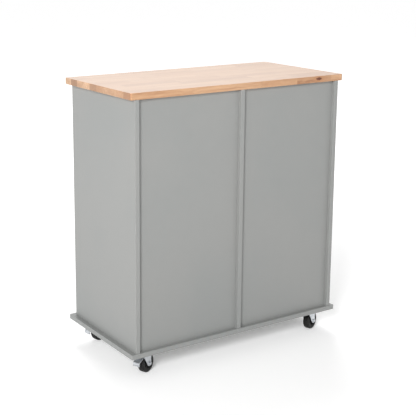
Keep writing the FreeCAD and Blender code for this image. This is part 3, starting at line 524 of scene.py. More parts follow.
@dataclass(frozen=True)
class Plating:
    """Plated steel: zinc on sheet metal, nickel or polish on small hardware."""

    name: str
    light: tuple[float, float, float, float]
    dark: tuple[float, float, float, float]
    roughness: float
    spangle: float = 90.0
    brushed: float = 0.0
    pit_waves: float = 1900.0
    smear_waves: float = 34.0
    mark_depth: float = 0.00006

    def make(self) -> bpy.types.Material:
        """Build the material: cloudy plating, drawing lines, fine pits and handling marks.

        Returns:
            The material.
        """
        bench = Bench(self.name)
        place = bench.place()
        x, y, z = bench.split(place)
        cloud = bench.noise(place, self.spangle, 4.0, 0.6)
        lines = bench.noise(bench.join(x * 300.0, y * 300.0, z * 2600.0), 1.0, 2.0)
        pit = bench.noise(place, self.pit_waves, 2.0).ease(0.68, 0.8)
        smear = bench.noise(place, self.smear_waves, 3.0).ease(0.45, 0.7)
        colour = bench.blend(cloud.ease(0.3, 0.72), self.light, self.dark)
        return bench.finish(
            Base_Color=bench.shade(colour, 1.0 - pit * 0.25),
            Metallic=1.0,
            Roughness=self.roughness + cloud * 0.10 + smear * 0.08 + lines * self.brushed,
            Normal=bench.relief(lines * self.brushed - pit * 0.6 + cloud * 0.2, self.mark_depth, 0.6))


@dataclass(frozen=True)
class Moulding:
    """Moulded black or white plastic and rubber."""

    name: str
    colour: tuple[float, float, float, float]
    dust: tuple[float, float, float, float]
    roughness: float
    grain: float = 1400.0
    dusty: float = 0.35
    patch_waves: float = 48.0
    scuff_waves: float = 210.0
    skin_depth: float = 0.00012

    def make(self) -> bpy.types.Material:
        """Build the material: moulded skin, dust in patches, scuffs.

        Returns:
            The material.
        """
        bench = Bench(self.name)
        place = bench.place()
        skin = bench.noise(place, self.grain, 2.0, 0.6)
        patch = bench.noise(place, self.patch_waves, 4.0, 0.62).ease(0.46, 0.72)
        scuff = bench.noise(place, self.scuff_waves, 4.0, 0.7).ease(0.6, 0.74)
        colour = bench.blend(patch * self.dusty + scuff * 0.12, self.colour, self.dust)
        return bench.finish(
            Base_Color=bench.shade(colour, 0.9 + skin * 0.2),
            Roughness=self.roughness + patch * 0.12 + skin * 0.08,
            Normal=bench.relief(skin * 0.7 + scuff * 0.3, self.skin_depth, 0.5),
            Specular_IOR_Level=0.25)


@dataclass(frozen=True)
class StudioFloor:
    """A seamless pale floor that glows more the further it is from the cart."""

    name: str = "studio_floor"
    colour: tuple[float, float, float, float] = (0.91, 0.91, 0.91, 1.0)
    near: float = 0.7
    far: float = 3.2
    near_glow: float = 0.21
    far_glow: float = 0.60

    def make(self) -> bpy.types.Material:
        """Build the material: pale grey with a soft drift, and its glow.

        Returns:
            The material.
        """
        bench = Bench(self.name)
        x, y, _ = bench.split(bench.place())
        away = (x ** 2.0 + y ** 2.0).root().ease(self.near, self.far)
        glow = bench.blend(away, grey(self.near_glow), grey(self.far_glow))
        tone = bench.noise(bench.place(), 1.4, 2.0)
        return bench.finish(Base_Color=bench.blend(tone, self.colour, grey(0.92)), Roughness=0.9,
                            Specular_IOR_Level=0.1, Emission_Color=glow, Emission_Strength=1.0)


# ---------------------------------------------------------------- modelling by hand


class Shaping:
    """Short names for the modelling operators, each working on what is selected."""

    @staticmethod
    def drop_selection() -> None:
        """Leave nothing selected and nothing active."""
        bpy.ops.object.select_all(action="DESELECT")
        bpy.context.view_layer.objects.active = None

    @staticmethod
    def hold(piece: bpy.types.Object) -> None:
        """Select one object alone and make it active."""
        Shaping.drop_selection()
        piece.select_set(True)
        bpy.context.view_layer.objects.active = piece

    @staticmethod
    def named(name: str) -> bpy.types.Object:
        """Give the active object and its mesh a name.

        Args:
            name: the name.

        Returns:
            The object.
        """
        piece = bpy.context.active_object
        piece.name = name
        piece.data.name = name
        return piece

    @staticmethod
    def pick(mode: str, wanted: Callable) -> None:
        """Select the vertices, edges or faces of the mesh in edit mode that pass a test.

        Args:
            mode: VERT, EDGE or FACE.
            wanted: the test, on a bmesh element.
        """
        mesh = bpy.context.edit_object.data
        bpy.ops.mesh.select_mode(type=mode)
        bpy.ops.mesh.select_all(action="DESELECT")
        work = bmesh.from_edit_mesh(mesh)
        for element in {"VERT": work.verts, "EDGE": work.edges, "FACE": work.faces}[mode]:
            element.select_set(bool(wanted(element)))
        work.select_flush_mode()
        bmesh.update_edit_mesh(mesh)

    @staticmethod
    def pull(offset: Sequence[float]) -> None:
        """Extrude the selection and move it."""
        bpy.ops.mesh.extrude_region_move(TRANSFORM_OT_translate={"value": tuple(offset)})

    @staticmethod
    def scale(factors: Sequence[float], centre: Sequence[float]) -> None:
        """Scale the selection about a point."""
        bpy.ops.transform.resize(value=tuple(factors), center_override=tuple(centre))

    @staticmethod
    def block(name: str, low: Sequence[float], high: Sequence[float]) -> bpy.types.Object:
        """Add a cube and size it to a box.

        Args:
            name: its name.
            low: the corner with the lowest X, Y and Z.
            high: the opposite corner.

        Returns:
            The object.
        """
        Shaping.drop_selection()
        centre = [(a + b) / 2 for a, b in zip(low, high)]
        bpy.ops.mesh.primitive_cube_add(size=1.0, location=centre)
        piece = Shaping.named(name)
        piece.scale = [b - a for a, b in zip(low, high)]
        Shaping.settle(piece)
        return piece

    @staticmethod
    def board(name: str, low: Sequence[float], high: Sequence[float], edge: float) -> bpy.types.Object:
        """A block with its edges rounded.

        Args:
            name: its name.
            low: the corner with the lowest X, Y and Z.
            high: the opposite corner.
            edge: how far its edges are rounded.

        Returns:
            The object.
        """
        piece = Shaping.block(name, low, high)
        Shaping.ease(piece, edge, 3)
        return piece

    @staticmethod
    def settle(piece: bpy.types.Object) -> None:
        """Put the object's place, turn and scale into its mesh."""
        Shaping.hold(piece)
        bpy.ops.object.transform_apply(location=True, rotation=True, scale=True)

    @staticmethod
    def turned(name: str, profile: Sequence[tuple[float, float]], sides: int = 40) -> bpy.types.Object:
        """Turn a closed solid up the Z axis, as on a lathe.

        Args:
            name: its name.
            profile: radius and height of each step, from the bottom face to the top face.
            sides: faces round the axis.

        Returns:
            The object.
        """
        Shaping.drop_selection()
        radius, height = profile[0]
        bpy.ops.mesh.primitive_circle_add(vertices=sides, radius=radius, fill_type="NGON",
                                          location=(0.0, 0.0, height))
        piece = Shaping.named(name)
        Shaping.settle(piece)
        bpy.ops.object.mode_set(mode="EDIT")
        bpy.ops.mesh.select_all(action="SELECT")
        for next_radius, next_height in profile[1:]:
            Shaping.pull((0.0, 0.0, next_height - height))
            Shaping.scale([next_radius / radius, next_radius / radius, 1.0], (0.0, 0.0, next_height))
            radius, height = next_radius, next_height
        bpy.ops.mesh.select_all(action="SELECT")
        bpy.ops.mesh.normals_make_consistent(inside=False)
        bpy.ops.object.mode_set(mode="OBJECT")
        return piece

    @staticmethod
    def ring(name: str, section: Sequence[tuple[float, float]], sides: int = 72) -> bpy.types.Object:
        """Sweep a closed section round the Z axis.

        Args:
            name: its name.
            section: radius and height of each corner, in order; the last joins the first.
            sides: faces round the axis.

        Returns:
            The object.
        """
        Shaping.drop_selection()
        radius, height = section[0]
        bpy.ops.mesh.primitive_circle_add(vertices=sides, radius=radius, fill_type="NOTHING",
                                          location=(0.0, 0.0, height))
        piece = Shaping.named(name)
        Shaping.settle(piece)
        bpy.ops.object.mode_set(mode="EDIT")
        bpy.ops.mesh.select_mode(type="EDGE")
        bpy.ops.mesh.select_all(action="SELECT")
        for next_radius, next_height in [*section[1:], section[0]]:
            Shaping.pull((0.0, 0.0, next_height - height))
            Shaping.scale([next_radius / radius, next_radius / radius, 1.0], (0.0, 0.0, next_height))
            radius, height = next_radius, next_height
        bpy.ops.mesh.select_all(action="SELECT")
        bpy.ops.mesh.remove_doubles(threshold=1e-6)
        bpy.ops.mesh.normals_make_consistent(inside=False)
        bpy.ops.object.mode_set(mode="OBJECT")
        return piece

    @staticmethod
    def ease(piece: bpy.types.Object, width: float, segments: int = 2, angle: float = 35.0) -> None:
        """Round an object's sharp edges.

        Args:
            piece: the object.
            width: how far the edges are rounded.
            segments: faces across a rounded edge.
            angle: degrees above which an edge is sharp.
        """
        Shaping.hold(piece)
        bevel = piece.modifiers.new("eased", "BEVEL")
        bevel.width = width
        bevel.segments = segments
        bevel.limit_method = "ANGLE"
        bevel.angle_limit = math.radians(angle)
        bpy.ops.object.modifier_apply(modifier=bevel.name)

    @staticmethod
    def thicken(piece: bpy.types.Object, thickness: float) -> None:
        """Give a sheet its thickness, half on either side.

        Args:
            piece: the sheet.
            thickness: in metres.
        """
        Shaping.hold(piece)
        wall = piece.modifiers.new("wall", "SOLIDIFY")
        wall.thickness = thickness
        wall.offset = 0.0
        wall.use_even_offset = True
        bpy.ops.object.modifier_apply(modifier=wall.name)

    @staticmethod
    def carve(piece: bpy.types.Object, cutter: bpy.types.Object) -> None:
        """Cut one object's shape out of another and throw the cutter away.

        Args:
            piece: what is cut.
            cutter: the shape that is cut out.
        """
        Shaping.hold(piece)
        cut = piece.modifiers.new("cut", "BOOLEAN")
        cut.operation = "DIFFERENCE"
        cut.object = cutter
        bpy.ops.object.modifier_apply(modifier=cut.name)
        bpy.data.objects.remove(cutter, do_unlink=True)

    @staticmethod
    def smooth(piece: bpy.types.Object, degrees: float = 32.0) -> None:
        """Shade smooth where faces meet at a small angle, and keep large faces flat.

        Args:
            piece: the object.
            degrees: the largest angle that is smoothed.
        """
        Shaping.hold(piece)
        bpy.ops.object.shade_smooth_by_angle(angle=math.radians(degrees))
        weighted = piece.modifiers.new("weighted", "WEIGHTED_NORMAL")
        weighted.weight = 100
        weighted.keep_sharp = True
        bpy.ops.object.modifier_apply(modifier=weighted.name)

    @staticmethod
    def moved(piece: bpy.types.Object, matrix: Matrix) -> bpy.types.Object:
        """Move a finished piece and put the move into its mesh.

        Args:
            piece: the object.
            matrix: the move.

        Returns:
            The object.
        """
        piece.matrix_world = matrix
        Shaping.settle(piece)
        return piece

    @staticmethod
    def copy(piece: bpy.types.Object, name: str, matrix: Matrix) -> bpy.types.Object:
        """A copy with its own mesh, moved into place.

        Args:
            piece: what is copied.
            name: the copy's name.
            matrix: where the copy goes.

        Returns:
            The copy.
        """
        Shaping.hold(piece)
        bpy.ops.object.duplicate(linked=False)
        return Shaping.moved(Shaping.named(name), matrix)

    @staticmethod
    def joined(pieces: Sequence[bpy.types.Object], name: str) -> bpy.types.Object:
        """Several objects as one.

        Args:
            pieces: the objects.
            name: the name of the whole.

        Returns:
            The whole.
        """
        Shaping.drop_selection()
        for piece in pieces:
            piece.select_set(True)
        bpy.context.view_layer.objects.active = pieces[0]
        if len(pieces) > 1:
            bpy.ops.object.join()
        return Shaping.named(name)

    @staticmethod
    def discard(pieces: Iterable[bpy.types.Object]) -> None:
        """Throw away models that were only copied from."""
        for piece in pieces:
            bpy.data.objects.remove(piece, do_unlink=True)

    @staticmethod
    def eased_copy(node: str, name: str, width: float, segments: int = 2) -> bpy.types.Object:
        """A copy of a cart solid, merged into clean faces, with its sharp edges eased.

        Args:
            node: the solid's name.
            name: the copy's name.
            width: how far the edges are eased.
            segments: faces across an eased edge.

        Returns:
            The object.
        """
        Shaping.hold(frame["nodes"][node])
        bpy.ops.object.duplicate(linked=False)
        piece = Shaping.named(name)
        piece.parent = None
        bpy.ops.object.mode_set(mode="EDIT")
        bpy.ops.mesh.select_all(action="SELECT")
        bpy.ops.mesh.remove_doubles(threshold=2e-6)
        bpy.ops.mesh.dissolve_limited(angle_limit=math.radians(1.0))
        bpy.ops.object.mode_set(mode="OBJECT")
        Shaping.ease(piece, width, segments)
        Shaping.smooth(piece)
        return piece


def joint(name: str) -> dict:
    """A joint of the cart by its name."""
    return next(row for row in frame["joints"] if row["name"] == name)


def point_along(axis: Axis, at: Sequence[float]) -> Matrix:
    """The move that takes a piece made up the Z axis to a place and direction."""
    turn = Vector((0.0, 0.0, 1.0)).rotation_difference(Vector(axis.value))
    return Matrix.Translation(Vector(at)) @ turn.to_matrix().to_4x4()


# ---------------------------------------------------------------- the cart's finishes, dressing


@dataclass
class Finishes:
    """Every material of the cart, made once, by the record's slot names."""

    made: dict[str, bpy.types.Material] = field(default_factory=dict)

    def __post_init__(self) -> None:
        """Make them."""
        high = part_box("worktop")[1]
        white, aged = (0.80, 0.79, 0.76, 1.0), (0.62, 0.60, 0.55, 1.0)
        pine, pine_dark = (0.66, 0.49, 0.30, 1.0), (0.52, 0.35, 0.19, 1.0)
        beech, beech_dark = (0.62, 0.45, 0.27, 1.0), (0.45, 0.30, 0.16, 1.0)
        zinc, zinc_dark = (0.60, 0.62, 0.64, 1.0), (0.42, 0.44, 0.47, 1.0)
        steel, steel_dark = (0.80, 0.80, 0.80, 1.0), (0.70, 0.70, 0.71, 1.0)
        nickel, nickel_dark = (0.50, 0.48, 0.45, 1.0), (0.38, 0.365, 0.34, 1.0)
        rubber_dust, plastic_dust = (0.022, 0.021, 0.019, 1.0), (0.030, 0.029, 0.027, 1.0)
        for slot, finish in {
            "grey_paint": PaintedBoard("grey_paint"),
            "butcher_block": StaveTop("butcher_block", half_depth=high[1], top=high[2]),
            "drawer_board": PlainWood("drawer_board", pine, pine_dark, (0, 1, 0)),
            "dowel_wood": PlainWood("dowel_wood", beech, beech_dark, (0, 0, 1), 0.65),
            "zinc": Plating("zinc", zinc, zinc_dark, 0.26),
            "bearing_steel": Plating("bearing_steel", steel, steel_dark, 0.12, 40.0),
            "nickel": Plating("nickel", nickel, nickel_dark, 0.26, 60.0, 0.12),
            "catch_plastic": Moulding("catch_plastic", white, aged, 0.38, dusty=0.15),
            "wheel_rubber": Moulding("wheel_rubber", grey(0.005), rubber_dust, 0.48),
            "wheel_plastic": Moulding("wheel_plastic", grey(0.009), plastic_dust, 0.36, 900.0, 0.2),
        }.items():
            self.made[slot] = finish.make()

    def dress(self, piece: bpy.types.Object, slot: str) -> None:
        """Give an object one material all over."""
        piece.data.materials.clear()
        piece.data.materials.append(self.made[slot])

    def dress_nodes(self) -> None:
        """Give every solid of the cart the material of its slot."""
        for row in frame["record"]["subparts"]:
            self.dress(frame["nodes"][row["node"]], row["material_slot"])

    def stand_in(self, piece: bpy.types.Object, nodes: Sequence[str], slot: str) -> None:
        """Let a finished piece stand for solids of one body and ride with them.

        Args:
            piece: the finished piece.
            nodes: the solids that it stands for.
            slot: the record's slot that it takes its finish from.
        """
        self.dress(piece, slot)
        bodies = frame["record"]["behaviour"]["bodies"]
        body = next(name for name, held in bodies.items() if nodes[0] in held)
        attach(piece, body)
        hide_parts(*nodes)
        LOG.info("%s stands for %s on %s", piece.name, ", ".join(nodes), body)


# ---------------------------------------------------------------- sub-assemblies


@dataclass
class Carcass:
    """Sharp-edged boards and sheet metal of the cabinet, with their edges eased."""

    finishes: Finishes
    top_edge: float = 0.0020
    board_edge: float = 0.0007
    metal_edge: float = 0.0003
    case_edge: float = 0.0008
    pole_half: float = 0.008
    pole_depth: float = 0.004
    pole_proud: float = 0.0003
    pole_sheet: float = 0.0016
    pole_lifts: tuple[float, float] = (0.0035, 0.0075)
    pole_edge: float = 0.0002

    def build(self) -> None:
        """Ease the worktop, boards, brackets, channels and catches."""
        top = Shaping.eased_copy("worktop", "worktop_eased", self.top_edge, 3)
        self.finishes.stand_in(top, ["worktop"], "butcher_block")
        for node in ("base_board", "side_panel_left", "side_panel_right", "centre_divider",
                     "top_rails", "mid_rails", "shelf_left", "shelf_right"):
            board = Shaping.eased_copy(node, node + "_eased", self.board_edge)
            self.finishes.stand_in(board, [node], "grey_paint")
        for node in ("top_brackets", "cabinet_runners"):
            metal = Shaping.eased_copy(node, node + "_pressed", self.metal_edge)
            self.finishes.stand_in(metal, [node], "zinc")
        self.catches()

    def catches(self) -> None:
        """Catch cases with a ribbed front and a steel pole piece each."""
        cases = Shaping.eased_copy("door_catches", "catch_cases", self.case_edge, 3)
        self.finishes.stand_in(cases, ["door_catches"], "catch_plastic")
        low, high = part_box("door_catches")
        poles = []
        for sign in SIDES.values():
            middle = sign * (high[0] - CATCH_HALF)
            for lift in self.pole_lifts:
                height = low[2] + lift
                pole = Shaping.block(
                    "pole", (middle - self.pole_half, low[1] - self.pole_proud, height),
                    (middle + self.pole_half, low[1] + self.pole_depth, height + self.pole_sheet))
                Shaping.ease(pole, self.pole_edge)
                poles.append(pole)
        plate = Shaping.joined(poles, "catch_poles")
        Shaping.smooth(plate)
        self.finishes.dress(plate, "zinc")
        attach(plate, "root")


@dataclass
class Knob:
    """A turned knob on a flared stem, with a cross-head screw behind the board."""

    finishes: Finishes
    head_radius: float = 0.0150
    foot_radius: float = 0.0090
    length: float = 0.0220
    shoulder: float = 0.0160
    crown: float = 0.0034
    crown_inset: float = 0.0022
    sides: int = 48
    screw_radius: float = 0.0040
    screw_height: float = 0.0020

    def profile(self) -> list[tuple[float, float]]:
        """Work out radius and height from the foot at the board out to the crown.

        Returns:
            The steps of the knob, for turning.
        """
        foot, head = self.foot_radius, self.head_radius
        steps = [(foot, 0.0), (foot, 0.0016), (foot * 0.86, 0.0028), (foot * 0.70, 0.0052),
                 (foot * 0.66, 0.0082), (foot * 0.74, 0.0108), (foot * 1.05, 0.0128), (head * 0.90, 0.0140)]
        for index in range(6):
            angle = math.radians(18 * index)
            steps.append((head - self.crown_inset * (1 - math.cos(angle)),
                          self.shoulder + self.crown * math.sin(angle)))
        steps.append((head * 0.55, self.length - 0.0006))
        steps.append((head * 0.18, self.length))
        return steps

    def build(self, node: str, front: float) -> None:
        """Turn a knob in the place of a solid one.

        Args:
            node: the solid knob.
            front: where the board's front face is along Y.
        """
        low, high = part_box(node)
        middle = ((low[0] + high[0]) / 2, front, (low[2] + high[2]) / 2)
        body = Shaping.turned("knob", self.profile(), self.sides)
        Shaping.smooth(body, 50.0)
        Shaping.moved(body, point_along(Axis.FRONT, middle))
        back = (middle[0], high[1] - self.screw_height, middle[2])
        model = ScrewMaker.model(self.screw_radius, self.screw_height)
        screw = Shaping.copy(model, "knob_screw", point_along(Axis.REAR, back))
        knob = Shaping.joined([body, screw], node + "_turned")
        self.finishes.stand_in(knob, [node], "nickel")


class ScrewMaker:
    """Cross-head screw heads, modelled once for each size and copied."""

    models: dict[tuple[float, float], bpy.types.Object] = {}

    @classmethod
    def model(cls, radius: float, height: float) -> bpy.types.Object:
        """A domed head with a cross recess, standing on the origin, pointing up.

        Args:
            radius: of the head.
            height: of the head.

        Returns:
            The model to copy.
        """
        key = (radius, height)
        if key not in cls.models:
            profile = [(radius * 0.94, 0.0), (radius, height * 0.18), (radius * 0.96, height * 0.45),
                       (radius * 0.80, height * 0.78), (radius * 0.52, height * 0.97),
                       (radius * 0.2, height)]
            head = Shaping.turned("screw_head", profile, 28)
            slot, reach = radius * 0.13, radius * 0.52
            for half_x, half_y in ((slot, reach), (reach, slot)):
                cutter = Shaping.block("cross", (-half_x, -half_y, height * 0.42),
                                       (half_x, half_y, height * 1.5))
                Shaping.carve(head, cutter)
            Shaping.smooth(head, 40.0)
            cls.models[key] = head
        return cls.models[key]

    @classmethod
    def row(cls, name: str, radius: float, height: float,
            places: Sequence[tuple[Axis, Sequence[float]]]) -> bpy.types.Object:
        """Copies of a head at several places, as one object.

        Args:
            name: its name.
            radius: of the heads.
            height: of the heads.
            places: direction and seat of each head.

        Returns:
            The object.
        """
        copies = [Shaping.copy(cls.model(radius, height), f"{name}_{index}", point_along(axis, at))
                  for index, (axis, at) in enumerate(places)]
        return Shaping.joined(copies, name)

    @classmethod
    def clear(cls) -> None:
        """Throw the models away."""
        Shaping.discard(cls.models.values())
        cls.models.clear()


@dataclass
class Drawer:
    """One drawer's front, box, runners and knob."""

    finishes: Finishes
    side: str
    board: float = 0.012
    edge: float = 0.0011
    front_edge: float = 0.0010
    runner_edge: float = 0.0016
    screw_radius: float = 0.0032
    screw_height: float = 0.0008
    screw_lift: float = 0.016

    def build(self) -> None:
        """Ease the front, nail up the box, roll the runner bars and turn the knob."""
        front_board = f"drawer_front_{self.side}"
        eased = Shaping.eased_copy(front_board, front_board + "_eased", self.front_edge, 3)
        self.finishes.stand_in(eased, [front_board], "grey_paint")
        self.box()
        runners = f"drawer_runners_{self.side}"
        bars = Shaping.eased_copy(runners, runners + "_rolled", self.runner_edge, 4)
        self.finishes.stand_in(bars, [runners], "zinc")
        Knob(self.finishes).build(f"drawer_knob_{self.side}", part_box(front_board)[0][1])

    def box(self) -> None:
        """Four boards with eased edges, and the screws that hold the corners."""
        node = f"drawer_box_{self.side}"
        (x0, y0, z0), (x1, y1, z1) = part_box(node)
        inner = (x0 + self.board, x1 - self.board)
        spans = [((x0, y0), (inner[0], y1)), ((inner[1], y0), (x1, y1)),
                 ((inner[0], y0), (inner[1], y0 + self.board)),
                 ((inner[0], y1 - self.board), (inner[1], y1))]
        boards = [Shaping.board("board", (*low, z0), (*high, z1), self.edge) for low, high in spans]
        box = Shaping.joined(boards, node + "_boards")
        Shaping.smooth(box)
        self.finishes.stand_in(box, [node], "drawer_board")
        places = []
        for axis, x in ((Axis.LEFT, x0), (Axis.RIGHT, x1)):
            for y in (y0 + self.board / 2, y1 - self.board / 2):
                for z in (z0 + self.screw_lift, z1 - self.screw_lift):
                    places.append((axis, (x, y, z)))
        heads = ScrewMaker.row(f"drawer_screws_{self.side}", self.screw_radius, self.screw_height, places)
        self.finishes.dress(heads, "zinc")
        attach(heads, f"drawer_{self.side}")


@dataclass
class Door:
    """One framed door with its knob and hinge leaves."""

    finishes: Finishes
    side: str
    stile: float = 0.055
    edge: float = 0.0010
    leaf_edge: float = 0.00025
    strike_half: float = 0.010
    strike_half_height: float = 0.0055
    strike_sunk: float = 0.0004
    strike_proud: float = 0.00025
    strike_drop: float = 0.0006
    strike_edge: float = 0.0002

    def build(self) -> None:
        """Ease the frame, turn the knob, finish the leaves and fit a strike plate."""
        self.frame()
        Knob(self.finishes).build(f"door_knob_{self.side}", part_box(f"door_frame_{self.side}")[0][1])
        leaves = f"hinge_door_leaves_{self.side}"
        pressed = Shaping.eased_copy(leaves, leaves + "_pressed", self.leaf_edge)
        self.finishes.stand_in(pressed, [leaves], "nickel")
        self.strike()

    def frame(self) -> None:
        """Two stiles and two rails, each with its own eased edges."""
        node = f"door_frame_{self.side}"
        (x0, y0, z0), (x1, y1, z1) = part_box(node)
        inner = (x0 + self.stile, x1 - self.stile)
        spans = [((x0, z0), (inner[0], z1)), ((inner[1], z0), (x1, z1)),
                 ((inner[0], z0), (inner[1], z0 + self.stile)),
                 ((inner[0], z1 - self.stile), (inner[1], z1))]
        members = [Shaping.board("member", (low[0], y0, low[1]), (high[0], y1, high[1]), self.edge)
                   for low, high in spans]
        joined = Shaping.joined(members, node + "_eased")
        Shaping.smooth(joined)
        self.finishes.stand_in(joined, [node], "grey_paint")

    def strike(self) -> None:
        """The thin plate on the door's back that the catch pulls on."""
        catch_low, catch_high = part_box("door_catches")
        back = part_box(f"door_frame_{self.side}")[1][1]
        middle = SIDES[self.side] * (catch_high[0] - CATCH_HALF)
        height = (catch_low[2] + catch_high[2]) / 2 - self.strike_drop
        low = (middle - self.strike_half, back - self.strike_sunk, height - self.strike_half_height)
        high = (middle + self.strike_half, back + self.strike_proud, height + self.strike_half_height)
        plate = Shaping.board("strike", low, high, self.strike_edge)
        plate.name = f"strike_plate_{self.side}"
        Shaping.smooth(plate)
        self.finishes.dress(plate, "zinc")
        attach(plate, f"door_{self.side}")


@dataclass
class FixedHinges:
    """Hinge leaves on the side panels and the pins with their domed ends."""

    finishes: Finishes
    half: float = 0.030
    leaf_edge: float = 0.00025
    collar: float = 0.0001
    rim: float = 0.0007
    dome: float = 0.0010

    def build(self) -> None:
        """Finish the leaves and the pins."""
        leaves = Shaping.eased_copy("hinge_side_leaves", "hinge_side_leaves_pressed", self.leaf_edge)
        self.finishes.stand_in(leaves, ["hinge_side_leaves"], "nickel")
        low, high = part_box("hinge_pins")
        radius = (high[1] - low[1]) / 2
        lowest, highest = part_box("hinge_side_leaves")
        half = self.half
        centres = (lowest[2] + half, highest[2] - half)
        domed_end = [(radius, half - self.collar), (radius * 1.55, half), (radius * 1.5, half + self.rim),
                     (radius * 0.6, half + self.dome)]
        profile = [(width, -height) for width, height in reversed(domed_end)] + domed_end
        pins = []
        for sign in SIDES.values():
            for centre in centres:
                pin = Shaping.turned("pin", profile, 28)
                x = sign * (high[0] - radius)
                pins.append(Shaping.moved(pin, Matrix.Translation((x, (low[1] + high[1]) / 2, centre))))
        joined = Shaping.joined(pins, "hinge_pins_domed")
        Shaping.smooth(joined, 40.0)
        self.finishes.stand_in(joined, ["hinge_pins"], "nickel")


@dataclass
class Fasteners:
    """Visible screw heads, in place of plain ones."""

    finishes: Finishes
    plate_pitch: float = 0.048
    head_radius: float = 0.0044
    head_height: float = 0.0024
    small_radius: float = 0.0036
    small_height: float = 0.0020
    bracket_half: float = 0.009
    bracket_sheet: float = 0.002
    bracket_hole: float = 0.0156

    def build(self) -> None:
        """Fit the heads of the caster and bracket screws."""
        self.plates()
        self.brackets()

    def brackets(self) -> None:
        """Two heads on each angle bracket, one up into the worktop and one into the side panel."""
        low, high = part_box("top_brackets")
        places = []
        near, far = high[0] - self.bracket_sheet, high[0] - self.bracket_hole
        for sign, inward in ((-1, Axis.RIGHT), (1, Axis.LEFT)):
            for y in (low[1] + self.bracket_half, high[1] - self.bracket_half):
                places.append((Axis.DOWN, (sign * far, y, high[2] - self.bracket_sheet)))
                places.append((inward, (sign * near, y, high[2] - self.bracket_hole)))
        heads = ScrewMaker.row("bracket_screw_heads", self.small_radius, self.small_height, places)
        self.finishes.stand_in(heads, ["bracket_screws"], "zinc")

    def plates(self) -> None:
        """Four heads under each caster plate."""
        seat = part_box("caster_screws")[0][2] + self.head_height
        places = []
        for corner in CORNERS:
            pin = Vector(joint(f"caster_{corner}_swivel")["pos_m"])
            for step_x in (-0.5, 0.5):
                for step_y in (-0.5, 0.5):
                    spot = (pin.x + step_x * self.plate_pitch, pin.y + step_y * self.plate_pitch, seat)
                    places.append((Axis.DOWN, spot))
        heads = ScrewMaker.row("caster_screw_heads", self.head_radius, self.head_height, places)
        self.finishes.stand_in(heads, ["caster_screws"], "zinc")


